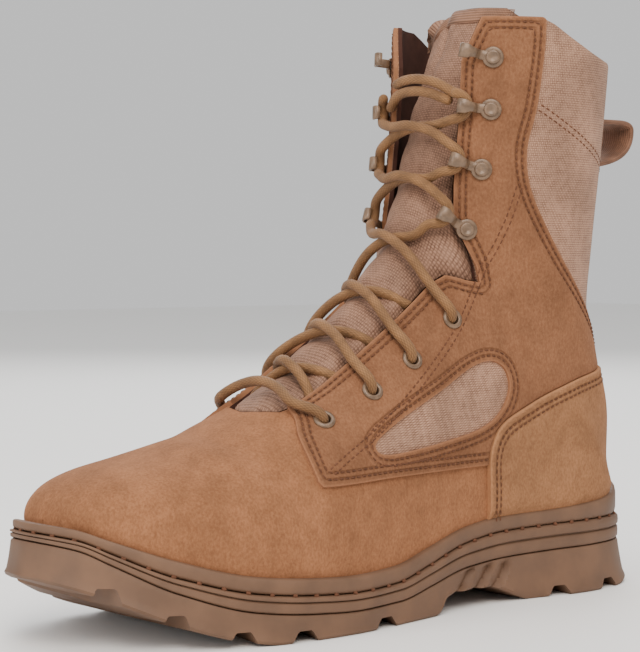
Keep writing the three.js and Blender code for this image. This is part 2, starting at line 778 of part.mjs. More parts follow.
// Pull loop: a band bent into a D behind the leg.
const loopTop = 1.635; // shares of the leg's height
const loopBottom = 1.42;
function makePullLoop() {
  const backAt = (rise) => {
    const section = smooth(legSections.filter((row) => row.backRise).map(
      (row) => ({ rise: row.backRise, back: row.back })), 'rise', 'back');
    return section(rise) * lastLength - 2 * gap;
  };
  const top = new THREE.Vector2(backAt(loopTop), level(loopTop));
  const bottom = new THREE.Vector2(backAt(loopBottom), level(loopBottom));
  const bow = (inset) => {
    const shape = new THREE.Path();
    shape.moveTo(top.x - inset, top.y - inset);
    shape.lineTo(bottom.x - inset, bottom.y + inset);
    shape.bezierCurveTo(
      bottom.x - 0.7 * loopDepth, bottom.y + inset + loopSag,
      bottom.x - loopDepth + inset, between(bottom.y, top.y, 0.35),
      bottom.x - loopDepth + inset, between(bottom.y, top.y, 0.8),
    );
    const upperBend = [bottom.x - loopDepth + inset, top.y - inset];
    shape.quadraticCurveTo(...upperBend, top.x - 0.6 * loopDepth, top.y - inset);
    return polygon(shape.getPoints(5));
  };
  const half = loopWidth / 2;
  return prism(bow(0), -half, half).subtract(prism(bow(loopBand), -half - 1, half + 1));
}

function makeEyelet() {
  const low = -wall + gap;
  const seat = quarterTop + seatClearance;
  const outer = barrelRadius;
  const profile = [
    [eyeletHole, low], [outer, low], [outer, seat], [eyeletFlange, seat],
    [eyeletFlange - flangeRound, seat + flangeThickness], [eyeletHole, seat + flangeThickness],
    [eyeletHole, low],
  ].map(([radius, height]) => new THREE.Vector2(radius, height));
  const ring = new THREE.LatheGeometry(profile, roundSides);
  ring.rotateX(Math.PI / 2);
  return solidOfGeometry(ring);
}

// Hook on its own axes: rivet at the origin, the tip towards +X, +Z off the leather. Its strap
// leaves the plate, rises over the lace and ends in a short fold down.
function makeHook(reachOut) {
  const disc = new THREE.CylinderGeometry(hookPlate, hookPlate, hookSheet, roundSides);
  disc.rotateX(Math.PI / 2);
  disc.translate(0, 0, hookSheet / 2);
  const head = new THREE.CylinderGeometry(rivetHead - 0.5, rivetHead, hookSheet, 6);
  head.rotateX(Math.PI / 2);
  head.translate(0, 0, hookSheet * 1.4);
  const rise = hookLift;
  const side = polygon([
    [0, 0], [hookPlate + 1, 0], [hookPlate + 3.5, rise - 0.6], [reachOut, rise],
    [reachOut + 0.8, rise - 1.6], [reachOut + 1.8, rise - 1.4], [reachOut + 1.2, rise + hookSheet],
    [hookPlate + 3, rise + hookSheet - 0.6], [hookPlate, hookSheet], [0, hookSheet],
  ].map(([x, z]) => new THREE.Vector2(x, z)));
  const strap = new THREE.ExtrudeGeometry(side, { depth: hookWidth, bevelEnabled: false });
  strap.rotateX(Math.PI / 2);
  strap.translate(0, hookWidth / 2, 0);
  return solidOfGeometry(disc).add(solidOfGeometry(strap)).add(solidOfGeometry(head));
}

// Tube of the lace through a few points.
function laceTube(points, steps) {
  const curve = new THREE.CatmullRomCurve3(points, false, 'centripetal');
  const sectionShape = new THREE.Shape();
  const sidesOfLace = 6;
  for (let i = 0; i < sidesOfLace; i += 1) {
    const turn = (i / sidesOfLace) * 2 * Math.PI;
    const corner = [Math.cos(turn) * laceDiameter / 2, Math.sin(turn) * laceDiameter / 2];
    if (i === 0) sectionShape.moveTo(...corner);
    else sectionShape.lineTo(...corner);
  }
  return solidOfGeometry(new THREE.ExtrudeGeometry(sectionShape, { steps, extrudePath: curve }));
}

// Strands by crossing: front line's heights and shares of throatGap where each strand starts and
// ends, and its lift there and in the middle. A strand from one side ends on the other, so each
// crossing is an X.
const crossings = table('low lowX lowLift midLift high highX highLift', [
  [0.668, 0.76, 0.2, 1.0, 0.740, 0.78, 0.2],
  [0.770, 1.22, 4.4, 2.4, 0.845, 0.80, 0.3],
  [0.880, 1.22, 4.4, 2.4, 0.965, 0.80, 0.3],
  [1.020, 1.28, 4.9, 2.6, 1.195, 0.86, 2.8],
  [1.310, 0.92, 2.6, 2.2, 1.400, 0.92, 2.6],
  [1.515, 0.90, 2.6, 2.2, 1.610, 0.90, 2.6],
]);

function makeCrossing({ low, lowX, lowLift, midLift, high, highX, highLift }) {
  const strand = (side) => laceTube([
    frontPoint(low, side * lowX * throatGap, lowLift),
    frontPoint(between(low, high, 0.25), side * 0.6 * throatGap, Math.max(lowLift, midLift)),
    frontPoint(between(low, high, 0.5), 0, midLift),
    frontPoint(between(low, high, 0.75), -side * 0.5 * throatGap, between(midLift, highLift, 0.4)),
    frontPoint(high, -side * highX * throatGap, highLift),
  ], 4);
  return strand(1).add(strand(-1));
}

// Single strands: the bar between the lowest eyelets and the two ends on the third hooks, by the
// front line's height, the share of throatGap and the lift.
const strandRoutes = {
  lace_bar: table('rise x lift', [
    [0.610, 1.30, 3.9], [0.632, 0.85, 5.3], [0.640, 0, 5.8], [0.632, -0.85, 5.3], [0.610, -1.30, 3.9],
  ]),
  lace_end_lateral: table('rise x lift', [
    [1.715, 0.90, 2.7], [1.744, 0.50, 3.0], [1.756, 0.05, 3.0], [1.756, -0.35, 2.9], [1.752, -0.62, 2.8],
  ]),
  lace_end_medial: table('rise x lift', [
    [1.680, -0.90, 2.7], [1.705, -0.55, 2.8], [1.708, 0, 2.8], [1.700, 0.40, 2.8], [1.690, 0.62, 2.8],
  ]),
};
const makeStrand = (route) => laceTube(
  route.map(({ rise, x, lift }) => frontPoint(rise, x * throatGap, lift)), 6);

const colours = {
  suede: 0xa87850, nylon: 0xb08d7a, rubber: 0x8a6d4e, webbing: 0x6f4a36, metal: 0x9c8a78, lace: 0xa6824f,
  lining: 0x7a4c3c,
};
const finish = (color, roughness, metalness = 0) => new THREE.MeshStandardMaterial({
  color, roughness, metalness,
});

const boot = new THREE.Group();
function addPiece(name, solid, color, roughness, metalness) {
  const mesh = new THREE.Mesh(geometryOf(solid), finish(color, roughness, metalness));
  mesh.name = name;
  boot.add(mesh);
  return mesh;
}

addPiece('outsole', makeOutsole(), colours.rubber, 0.85);
addPiece('midsole', makeMidsole(), colours.rubber, 0.8);
addPiece('welt', makeWelt(), colours.rubber, 0.75);
addPiece('insole', makeInsole(), colours.lining, 0.95);
addPiece('upper', makeUpper(), colours.nylon, 0.95);
addPiece('tongue', makeTongue(), colours.nylon, 0.95);
addPiece('heel_counter', makeCounter(), colours.suede, 0.95);
const quarterLayer = leatherLayer(quarterLeather);
for (const [name, side] of sides) {
  addPiece(`quarter_${name}`, makeQuarter(quarterLayer, side), colours.suede, 0.95);
}
addPiece('pull_loop', makePullLoop(), colours.webbing, 0.9);

const eyeletSolid = makeEyelet();
for (const { name, matrix } of eyelets) {
  addPiece(name, eyeletSolid, colours.metal, 0.5, 0.6).applyMatrix4(matrix);
}

for (const [name, side] of sides) {
  hookPlaces.forEach(({ rivetAt, rivetRise, tipAt, tipRise }, i) => {
    const seat = sidePoint(side, rivetAt, rivetRise, quarterTop + seatClearance);
    const tip = sidePoint(side, tipAt, tipRise, 0).point;
    const way = tip.clone().sub(seat.point);
    const hook = addPiece(`hook_${name}_${i + 1}`, makeHook(way.length() - 1), colours.metal, 0.5, 0.6);
    hook.applyMatrix4(standing(seat, way));
  });
}

crossings.forEach((row, i) => addPiece(`lace_cross_${i + 1}`, makeCrossing(row), colours.lace, 0.9));
for (const [name, route] of Object.entries(strandRoutes)) {
  addPiece(name, makeStrand(route), colours.lace, 0.9);
}

export default boot;
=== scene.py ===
"""Left combat boot: suede and woven nylon upper on a stitched rubber sole, laced with round cord.

Sizes are in millimetres until a mesh is made. +X is the boot's lateral side, -Y the toe, +Z up, and
the origin is the middle of the heel's flat spot on the floor.
"""
import math

import bmesh
import bpy
import numpy as np
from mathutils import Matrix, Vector
from mathutils.kdtree import KDTree


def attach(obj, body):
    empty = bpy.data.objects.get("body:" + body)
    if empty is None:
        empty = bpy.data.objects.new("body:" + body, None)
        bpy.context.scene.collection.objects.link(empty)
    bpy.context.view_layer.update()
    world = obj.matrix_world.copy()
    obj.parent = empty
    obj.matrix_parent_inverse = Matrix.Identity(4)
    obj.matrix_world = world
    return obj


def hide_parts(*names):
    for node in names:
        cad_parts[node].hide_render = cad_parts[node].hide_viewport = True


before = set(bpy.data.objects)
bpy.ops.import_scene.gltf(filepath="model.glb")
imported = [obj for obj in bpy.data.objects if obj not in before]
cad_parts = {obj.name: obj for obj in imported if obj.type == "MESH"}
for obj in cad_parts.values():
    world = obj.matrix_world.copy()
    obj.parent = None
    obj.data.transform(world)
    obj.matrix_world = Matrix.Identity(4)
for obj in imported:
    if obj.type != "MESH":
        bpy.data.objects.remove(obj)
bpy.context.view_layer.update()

bl_info = {
    "name": "Combat boot",
    "version": (1, 0, 0),
    "blender": (4, 5, 0),
    "location": "3D view > Sidebar > Boot",
    "description": "Builds the visual model of a laced suede and nylon boot",
    "category": "Object",
}

MM = 0.001

# The last, as in the solids
LAST_LENGTH = 291.5
BALL_WIDTH = 103.5
SHAFT_WIDTH = 90.0
INSTEP_HEIGHT = 144.0
COLLAR_HEIGHT = 250.0
HEEL_SPOT = 45.0
HEEL_HEIGHT = 37.5
HEEL_CUP_HEIGHT = 46.0
BALL_HEIGHT = 22.5
TOE_HEIGHT = 46.0
TOE_SPRING = 26.0
ARCH_LIFT = 7.9
WELT_BAND = 6.3
TOE_NARROWING = 0.45
SOLE_REACH = 7.0
THROAT_GAP = 21.0
WALL = 2.2
QUARTER_TOP = 1.9
COUNTER_TOP = 2.4
EYELET_HOLE = 2.5
HEEL_SEAT_END = 0.2


def table(columns, rows):
    """Columns of numbers by name."""
    names = columns.split()
    return {name: np.array([row[i] for row in rows], float) for i, name in enumerate(names)}


def between(low, high, share):
    return low + (high - low) * share


def smooth(xs, ys):
    """Rising cubic through points, without overshoot, flat beyond its ends."""
    xs, ys = np.asarray(xs, float), np.asarray(ys, float)
    slopes = np.diff(ys) / np.diff(xs)
    product = slopes[:-1] * slopes[1:]
    safe = np.where(product > 0, slopes[:-1] + slopes[1:], 1)
    inner = np.where(product > 0, 2 * product / safe, 0)
    tangent = np.concatenate([slopes[:1], inner, slopes[-1:]])

    def at(x):
        x = np.clip(x, xs[0], xs[-1])
        i = np.clip(np.searchsorted(xs, x, side="right") - 1, 0, len(xs) - 2)
        step = xs[i + 1] - xs[i]
        t = (x - xs[i]) / step
        swing = 3 * t ** 2 - 2 * t ** 3
        bend = (t ** 3 - 2 * t ** 2 + t) * tangent[i] + (t ** 3 - t ** 2) * tangent[i + 1]
        return ys[i] + (ys[i + 1] - ys[i]) * swing + step * bend

    return at


def smoothstep(x, low, high):
    t = np.clip((x - low) / (high - low), 0, 1)
    return t * t * (3 - 2 * t)


def unit(vectors, least_length=1e-9):
    return vectors / np.maximum(np.linalg.norm(vectors, axis=-1, keepdims=True), least_length)


def curve_of(rows, across, up):
    """A table's column as a smooth function of another."""
    return smooth(rows[across], rows[up])


# Sections from toe to instep, then up the leg: shares of the last's length, instep and widths
FOOT_SECTIONS = table("back front rise lateral medial belly roundness drift", [
    (1.000, 1.000, 0.330, 0.058, 0.052, 0.50, 2.0, -0.087),
    (0.997, 0.990, 0.382, 0.164, 0.142, 0.45, 2.1, -0.087),
    (0.981, 0.964, 0.424, 0.271, 0.228, 0.42, 2.2, -0.085),
    (0.937, 0.919, 0.455, 0.386, 0.328, 0.38, 2.3, -0.077),
    (0.865, 0.847, 0.485, 0.473, 0.416, 0.34, 2.3, -0.058),
    (0.782, 0.772, 0.526, 0.512, 0.470, 0.32, 2.2, -0.029),
    (0.703, 0.703, 0.582, 0.517, 0.493, 0.30, 2.1, -0.010),
    (0.617, 0.642, 0.650, 0.493, 0.473, 0.30, 2.0, 0),
    (0.532, 0.580, 0.743, 0.454, 0.444, 0.32, 2.0, 0),
    (0.439, 0.525, 0.833, 0.415, 0.406, 0.36, 2.0, 0),
    (0.343, 0.480, 0.917, 0.386, 0.377, 0.40, 2.0, 0),
    (0.240, 0.444, 1.000, 0.372, 0.367, 0.42, 2.0, 0),
])
LEG_SECTIONS = table("back back_rise front rise lateral medial belly roundness", [
    (0.137, 0, 0.420, 1.094, 0.422, 0.422, 0.44, 2.0),
    (0.062, 0, 0.405, 1.179, 0.422, 0.422, 0.46, 2.0),
    (0.012, 0, 0.399, 1.222, 0.422, 0.422, 0.465, 2.0),
    (0.006, 0.306, 0.394, 1.264, 0.422, 0.422, 0.47, 2.1),
    (0.005, 0.431, 0.386, 1.340, 0.428, 0.428, 0.48, 2.1),
    (0.029, 0.590, 0.377, 1.425, 0.433, 0.433, 0.49, 2.1),
    (0.051, 0.799, 0.369, 1.528, 0.439, 0.439, 0.50, 2.1),
    (0.043, 1.038, 0.362, 1.642, 0.456, 0.456, 0.50, 2.1),
    (0.030, 1.387, 0.357, 1.774, 0.478, 0.478, 0.50, 2.1),
    (0.015, 1.849, 0.350, 2.019, 0.500, 0.500, 0.50, 2.1),
    (0.010, 2.000, 0.346, 2.151, 0.500, 0.500, 0.50, 2.1),
])
FOOT_PLAN = table("at lateral medial drift", [
    (0.000, 0.000, 0.000, 0), (0.007, 0.087, 0.087, 0), (0.017, 0.155, 0.155, 0),
    (0.041, 0.242, 0.242, 0), (0.086, 0.314, 0.314, 0), (0.154, 0.343, 0.338, 0),
    (0.257, 0.333, 0.304, 0), (0.377, 0.345, 0.290, 0), (0.515, 0.408, 0.353, 0),
    (0.635, 0.462, 0.420, 0), (0.738, 0.473, 0.444, -0.016), (0.840, 0.435, 0.390, -0.052),
    (0.909, 0.362, 0.308, -0.072), (0.960, 0.256, 0.212, -0.083), (0.988, 0.150, 0.122, -0.087),
    (1.000, 0.000, 0.000, -0.087),
])
WELT_LINE = table("at height", [
    (0.00, HEEL_CUP_HEIGHT),
    (0.04, between(HEEL_HEIGHT, HEEL_CUP_HEIGHT, 0.52)),
    (0.10, between(HEEL_HEIGHT, HEEL_CUP_HEIGHT, 0.18)),
    (0.20, HEEL_HEIGHT),
    (0.31, between(BALL_HEIGHT, HEEL_HEIGHT, 0.96)),
    (0.39, between(BALL_HEIGHT, HEEL_HEIGHT, 0.78)),
    (0.48, between(BALL_HEIGHT, HEEL_HEIGHT, 0.35)),
    (0.55, between(BALL_HEIGHT, HEEL_HEIGHT, 0.05)),
    (0.63, BALL_HEIGHT),
    (0.71, between(BALL_HEIGHT, TOE_HEIGHT, 0.05)),
    (0.80, between(BALL_HEIGHT, TOE_HEIGHT, 0.17)),
    (0.90, between(BALL_HEIGHT, TOE_HEIGHT, 0.50)),
    (0.97, between(BALL_HEIGHT, TOE_HEIGHT, 0.84)),
    (1.00, TOE_HEIGHT),
    (1.03, between(BALL_HEIGHT, TOE_HEIGHT, 1.06)),
])
GROUND_LINE = table("at height", [
    (-0.03, 0.16 * TOE_SPRING), (0.01, 0.05 * TOE_SPRING), (0.05, 0), (0.262, 0),
    (0.285, 0.25 * ARCH_LIFT), (0.31, 0.62 * ARCH_LIFT), (0.335, 0.9 * ARCH_LIFT), (0.38, ARCH_LIFT),
    (0.42, 0.95 * ARCH_LIFT), (0.440, 0.85 * ARCH_LIFT), (0.458, 0.1 * ARCH_LIFT), (0.470, 0), (0.760, 0),
    (0.83, 0.12 * TOE_SPRING), (0.91, 0.42 * TOE_SPRING), (1.00, 0.88 * TOE_SPRING),
    (1.03, TOE_SPRING),
])
MIDSOLE_LINE = table("at thickness", [
    (0.00, 11.0), (0.30, 11.0), (0.48, 8.4), (0.60, 7.0), (0.80, 7.0), (1.00, 3.77),
    (1.03, 3.2),
])
REACH_LINE = table("at reach", [
    (0.00, 0.85), (0.15, 0.75), (0.40, 0.85), (0.70, 1.05), (0.90, 1.15), (1.00, 1.20),
])
# Half the opening between the facings, a share of THROAT_GAP, by the front line's height
THROAT = table("rise gap", [
    (0.590, 0.0), (0.598, 0.40), (0.612, 0.80), (0.640, 0.95), (0.700, 1.00), (1.040, 1.05),
    (1.100, 1.10), (1.150, 1.28), (1.185, 1.38), (1.225, 1.26), (1.280, 1.03), (1.400, 0.98),
    (1.840, 0.98), (1.930, 1.14), (2.020, 1.30), (2.140, 1.48),
])


def level(rise):
    """Height of a share: 0 the floor, 1 the instep, 2 the collar."""
    rise = np.asarray(rise, float)
    leg = INSTEP_HEIGHT + (rise - 1) * (COLLAR_HEIGHT - INSTEP_HEIGHT)
    return np.where(rise <= 1, rise * INSTEP_HEIGHT, leg)


welt_top = curve_of(WELT_LINE, "at", "height")
ground = curve_of(GROUND_LINE, "at", "height")
midsole_thickness = curve_of(MIDSOLE_LINE, "at", "thickness")
reach = curve_of(REACH_LINE, "at", "reach")
plan_lateral, plan_medial, plan_drift = (
    curve_of(FOOT_PLAN, "at", name) for name in ("lateral", "medial", "drift"))


def foot_line(at):
    band = WELT_BAND * (1 - TOE_NARROWING * smoothstep(at, 0.9, 1.03))
    return welt_top(np.maximum(at, HEEL_SEAT_END)) - band


def midsole_bottom(at):
    return foot_line(at) - midsole_thickness(at)


def section_curves():
    """The sections' sizes in millimetres, each as a smooth function of the section's number."""
    rows, more = len(FOOT_SECTIONS["back"]), len(LEG_SECTIONS["back"])

    def both(name):
        foot = FOOT_SECTIONS.get(name, np.zeros(rows))
        return np.concatenate([foot, LEG_SECTIONS.get(name, np.zeros(more))])

    back = both("back")
    on_foot = both("back_rise") == 0
    breadth = np.where(np.arange(len(back)) < rows, BALL_WIDTH, SHAFT_WIDTH)
    columns = {
        "back": back * LAST_LENGTH,
        "back_up": np.where(on_foot, foot_line(back), level(both("back_rise"))),
        "front": both("front") * LAST_LENGTH,
        "front_up": level(both("rise")),
        "lateral": both("lateral") * breadth,
        "medial": both("medial") * breadth,
        "foot_lateral": np.where(on_foot, plan_lateral(back) * BALL_WIDTH, 0),
        "foot_medial": np.where(on_foot, plan_medial(back) * BALL_WIDTH, 0),
        "belly": both("belly"),
        "roundness": both("roundness"),
        "drift": both("drift") * BALL_WIDTH,
    }
    numbers = np.arange(len(back))
    curves = {name: smooth(numbers, values) for name, values in columns.items()}
    return curves, len(back) - 1, int(np.sum(on_foot)) - 1


SECTION, LAST_SECTION, LAST_ON_FOOT = section_curves()


def last_point(section, side, angle):
    """Points of the last. angle runs from -pi/2 at the foot line to pi/2 at the front line."""
    value = {name: curve(section) for name, curve in SECTION.items()}
    name, plan = ("lateral", plan_lateral) if side > 0 else ("medial", plan_medial)
    width = value[name]
    at = value["back"] / LAST_LENGTH
    on_foot = section <= LAST_ON_FOOT
    foot = np.where(on_foot, plan(at) * BALL_WIDTH, value["foot_" + name])
    back_up = np.where(on_foot, foot_line(at), value["back_up"])
    sine, cosine = np.abs(np.sin(angle)), np.abs(np.cos(angle))
    power = 2 / value["roundness"]
    x = np.where(angle >= 0, width * cosine ** power, foot + (width - foot) * cosine)
    belly = value["belly"]
    share = np.where(angle >= 0, belly + (1 - belly) * sine ** power, belly * (1 - sine))
    along = between(value["back"], value["front"], share)
    up = between(back_up, value["front_up"], share)
    return np.stack([value["drift"] + side * x, HEEL_SPOT - along, up], -1)


GRID_STEP = 1.1
SIDE_COLUMNS = 128
# The front's share of each side's columns, and a distance that stands for "nowhere near"
FRONT_SHARE = 0.62
FAR = 60.0


def interpolated(places, marks, points):
    """Points at places along marked points, coordinate by coordinate."""
    return np.stack([np.interp(places, marks, points[:, k]) for k in range(points.shape[1])], 1)


def spaced(lengths, count):
    """Places in 0..1 of a fine path's points at equal shares of its length."""
    total = np.concatenate([[0], np.cumsum(lengths)])
    fine = np.linspace(0, 1, len(total))
    return np.interp(np.linspace(0, total[-1], count), total, fine)


# Creases: soft troughs and ridges on the leather, by their place in the side view. Each runs in the
# direction of its turn, in degrees.
CREASES = table("side along up turn length width depth", [
    (1, 214, 60, 62, 26, 7.0, -0.9),
    (1, 228, 66, 58, 24, 6.0, 0.5),
    (1, 186, 46, 20, 30, 7.0, -0.6),
    (1, 92, 122, 50, 30, 9.0, -1.5),
    (1, 74, 112, 42, 34, 9.0, 0.9),
    (1, 62, 124, 28, 26, 7.0, -0.9),
    (1, 96, 146, 12, 20, 8.0, -0.8),
    (1, 40, 150, 60, 24, 8.0, -0.7),
    (-1, 212, 62, 60, 26, 7.0, -0.8),
    (-1, 188, 48, 24, 30, 7.0, -0.6),
    (-1, 90, 120, 48, 30, 9.0, -1.4),
    (-1, 70, 110, 40, 32, 9.0, 0.8),
    (-1, 60, 128, 26, 24, 7.0, -0.8),
    (-1, 42, 158, 64, 26, 8.0, -0.6),
])


# Shares of the way from the toe's middle line to its first section, which close the last's end
TOE_CAP = (0.0, 0.2, 0.4, 0.6, 0.8)
SMOOTHING_ROUNDS = 14


def creases_at(points, side):
    """How far the creases raise or lower each point."""
    along, up = HEEL_SPOT - points[..., 1], points[..., 2]
    swell = np.zeros(along.shape)
    for crease in zip(*CREASES.values()):
        on_side, middle, height, turn, long, wide, depth = crease
        turn = math.radians(turn)
        right, over = along - middle, up - height
        length = right * math.cos(turn) + over * math.sin(turn)
        width = -right * math.sin(turn) + over * math.cos(turn)
        bend = 0.012 * length ** 2
        near = np.exp(-(length / long) ** 2 - ((width + 0.2 * bend) / wide) ** 2)
        swell += np.where(side == on_side, depth * near, 0)
    return swell


def make_form():
    """The last as a fine grid: rows from toe to collar, columns from the lateral foot line over
    the front line to the medial foot line."""
    fine = np.linspace(0, LAST_SECTION, 1500)
    longest = np.zeros(len(fine) - 1)
    for side in (1, -1):
        for angle in (-1.57, 0.0, 0.9, 1.57):
            path = last_point(fine, side, np.full(len(fine), angle))
            longest = np.maximum(longest, np.linalg.norm(np.diff(path, axis=0), axis=1))
    rows = int(longest.sum() / GRID_STEP / 1.3)
    sections = spaced(longest, rows + 1) * LAST_SECTION
    halves = []
    turns = np.linspace(-math.pi / 2, math.pi / 2, 500)
    for side in (1, -1):
        ring = last_point(sections[:, None], side, turns[None, :])
        steps = np.linalg.norm(np.diff(ring, axis=1), axis=2)
        half = np.empty((rows + 1, SIDE_COLUMNS + 1, 3))
        for i in range(rows + 1):
            places = spaced(steps[i], SIDE_COLUMNS + 1) * (len(turns) - 1)
            half[i] = interpolated(places, np.arange(len(turns)), ring[i])
        halves.append(half)
    points = np.concatenate([halves[0], halves[1][:, -2::-1]], axis=1)
    spine = points[0] * [0, 1, 1] + [SECTION["drift"](0), 0, 0]
    cap = [spine + (points[0] - spine) * share for share in TOE_CAP]
    points = np.concatenate([np.array(cap), points])
    sections = np.concatenate([(np.array(TOE_CAP) - 1) * 0.01, sections])
    rows += len(TOE_CAP)
    for _ in range(SMOOTHING_ROUNDS):
        inner = points[1:-1, 1:-1]
        around = points[:-2, 1:-1] + points[2:, 1:-1] + points[1:-1, :-2] + points[1:-1, 2:]
        points[1:-1, 1:-1] = 0.5 * inner + 0.125 * around
        closed = sections > LAST_ON_FOOT + 0.05
        seam = (points[:, 1] + points[:, -2]) / 2
        points[closed, 0] = 0.5 * points[closed, 0] + 0.5 * seam[closed]
        points[closed, -1] = points[closed, 0]
    normals = grid_normals(points)
    side = np.where(np.arange(points.shape[1]) <= SIDE_COLUMNS, 1, -1)[None, :] * np.ones((rows + 1, 1))
    points = points + normals * creases_at(points, side)[..., None]
    return {
        "points": points, "normals": grid_normals(points), "sections": sections, "side": side,
        "along": HEEL_SPOT - points[..., 1], "up": points[..., 2],
    }


def grid_normals(points):
    down, across = np.gradient(points, axis=0), np.gradient(points, axis=1)
    normals = np.cross(down, across)
    centre = points[:, [0, -1]].mean(1, keepdims=True) * 0.5 + points[:, [points.shape[1] // 2]] * 0.5
    flip = np.sum(normals * (points - centre), -1) < 0
    if flip.mean() > 0.5:
        normals = -normals
    normals = unit(normals)
    same = np.linalg.norm(points[:, 0] - points[:, -1], axis=-1) < 0.01
    seam = unit(normals[:, 0] + normals[:, -1])
    normals[same, 0] = seam[same]
    normals[same, -1] = seam[same]
    return normals


FORM = make_form()


def sample(grid, places):
    """Values of a grid at fractional rows and columns."""
    rows, columns = grid.shape[:2]
    i = np.clip(places[:, 0], 0, rows - 1.000001)
    j = np.clip(places[:, 1], 0, columns - 1.000001)
    a, b = i.astype(int), j.astype(int)
    s, t = i - a, j - b
    if grid.ndim > 2:
        s, t = s[:, None], t[:, None]
    low = grid[a, b] * (1 - t) + grid[a, b + 1] * t
    high = grid[a + 1, b] * (1 - t) + grid[a + 1, b + 1] * t
    return low * (1 - s) + high * s


def form_at(places, lift=0.0):
    """Points lifted off the last, and its normals there."""
    normals = unit(sample(FORM["normals"], places))
    lift = np.broadcast_to(np.asarray(lift, float), (len(places),))
    return sample(FORM["points"], places) + normals * lift[:, None], normals


def tree_of(points):
    tree = KDTree(len(points))
    for number, point in enumerate(points):
        tree.insert(point, number)
    tree.balance()
    return tree


def side_trees():
    """Search trees over each side's grid points in the side view."""
    trees = {}
    for side in (1, -1):
        chosen = np.argwhere((FORM["side"] == side) & (np.abs(FORM["normals"][..., 0]) > 0.12))
        trees[side] = (tree_of([(FORM["along"][i, j], FORM["up"][i, j], 0) for i, j in chosen]), chosen)
    return trees


SIDE_TREES = side_trees()


def locate(side, spots):
    """Fractional rows and columns of places in the side view, given as (along, up)."""
    tree, chosen = SIDE_TREES[side]
    view = np.stack([FORM["along"], FORM["up"]], -1)
    found = np.array([chosen[tree.find((a, u, 0))[1]] for a, u in spots], float)
    target = np.asarray(spots, float)
    for _ in range(6):
        here = sample(view, found)
        down = sample(view, found + [0.5, 0]) - sample(view, found - [0.5, 0])
        over = sample(view, found + [0, 0.5]) - sample(view, found - [0, 0.5])
        miss = target - here
        area = down[:, 0] * over[:, 1] - down[:, 1] * over[:, 0]
        area = np.where(np.abs(area) < 1e-3, 1e-3, area)
        step_i = (miss[:, 0] * over[:, 1] - miss[:, 1] * over[:, 0]) / area
        step_j = (down[:, 0] * miss[:, 1] - down[:, 1] * miss[:, 0]) / area
        found += np.clip(np.stack([step_i, step_j], 1), -3, 3)
    return found


SECTION_NUMBERS = np.arange(LAST_SECTION + 1)
section_of_front = smooth(SECTION["front_up"](SECTION_NUMBERS), SECTION_NUMBERS)


def front_points(rise, xs, lifts):
    """Points on the front, by the front line's height and their x."""
    numbers = np.arange(len(FORM["sections"]))
    row = float(np.interp(section_of_front(level(rise)), FORM["sections"], numbers))
    columns = np.arange(FORM["points"].shape[1], dtype=float)
    ring = sample(FORM["points"], np.stack([np.full(len(columns), row), columns], 1))
    near = np.abs(columns - SIDE_COLUMNS) < SIDE_COLUMNS * FRONT_SHARE
    order = np.argsort(ring[near, 0])
    found = np.interp(xs, ring[near, 0][order], columns[near][order])
    return form_at(np.stack([np.full(len(found), row), found], 1), lifts)[0]


def front_point(rise, x, lift):
    return front_points(rise, np.array([x]), lift)[0]


# Outlines in the side view
def curve_through(points, steps=8):
    """Centripetal curve through points, ends included."""
    points = np.asarray(points, float)
    ends = np.concatenate([[2 * points[0] - points[1]], points, [2 * points[-1] - points[-2]]])
    found = []
    for i in range(1, len(ends) - 2):
        p0, p1, p2, p3 = ends[i - 1], ends[i], ends[i + 1], ends[i + 2]
        t1 = np.linalg.norm(p1 - p0) ** 0.5
        t2 = t1 + max(np.linalg.norm(p2 - p1) ** 0.5, 1e-6)
        t3 = t2 + max(np.linalg.norm(p3 - p2) ** 0.5, 1e-6)
        t1 = max(t1, 1e-6)
        for t in np.linspace(t1, t2, steps, endpoint=False):
            a1 = p0 * (t1 - t) / t1 + p1 * t / t1
            a2 = p1 * (t2 - t) / (t2 - t1) + p2 * (t - t1) / (t2 - t1)
            a3 = p2 * (t3 - t) / (t3 - t2) + p3 * (t - t2) / (t3 - t2)
            b1 = a1 * (t2 - t) / t2 + a2 * t / t2
            b2 = a2 * (t3 - t) / (t3 - t1) + a3 * (t - t1) / (t3 - t1)
            found.append(b1 * (t2 - t) / (t2 - t1) + b2 * (t - t1) / (t2 - t1))
    found.append(points[-1])
    return np.array(found)


def outline_of(*parts):
    """Closed outline from curves, each a list of places that it runs through."""
    curves = [curve_through(part) if len(part) > 2 else np.asarray(part, float) for part in parts]
    return np.concatenate(curves)


QUARTER_OUTLINE = outline_of(
    [(170, 150), (184, 100), (193, 86.5), (195, 82.5), (199.5, 75.6), (201.2, 67), (201.0, 59.4)],
    [(199.4, 57.8), (190, 57.8), (157, 59.0), (101, 59.6), (-20, 59.6)],
    [(-20, 102), (14, 108)],
    [(22, 110), (36, 124), (60, 150.5), (75, 176), (77.5, 193), (74, 211), (71.5, 232), (70.5, 247)],
    [(70.5, 262), (170, 262)],
)
COUNTER_OUTLINE = outline_of(
    [(-30, 10), (99.5, 10)],
    [(99.5, 34), (100.5, 50), (101, 59.6), (99.7, 67), (94, 75.5), (74.3, 84.6), (52.2, 92.2),
     (29.7, 97), (-30, 105)],
)
WINDOW_OUTLINE = outline_of(
    [(168.5, 71.5), (167.5, 69), (163, 67.8), (150, 68.6), (131, 70.8), (105, 75.5), (95, 80.5),
     (89.5, 87), (87.6, 93), (89.5, 99.5), (94, 102.6), (100, 103.2), (108.5, 101), (127, 92),
     (152, 81), (165.5, 74), (168.5, 71.5)],
)[:-1]
FABRIC_OUTLINE = outline_of(
    [(-30, 92), (70, 94), (82, 80), (96, 68), (130, 64), (176, 62)],
    [(176, 84), (125, 108), (104, 120), (104, 270), (-30, 270)],
)
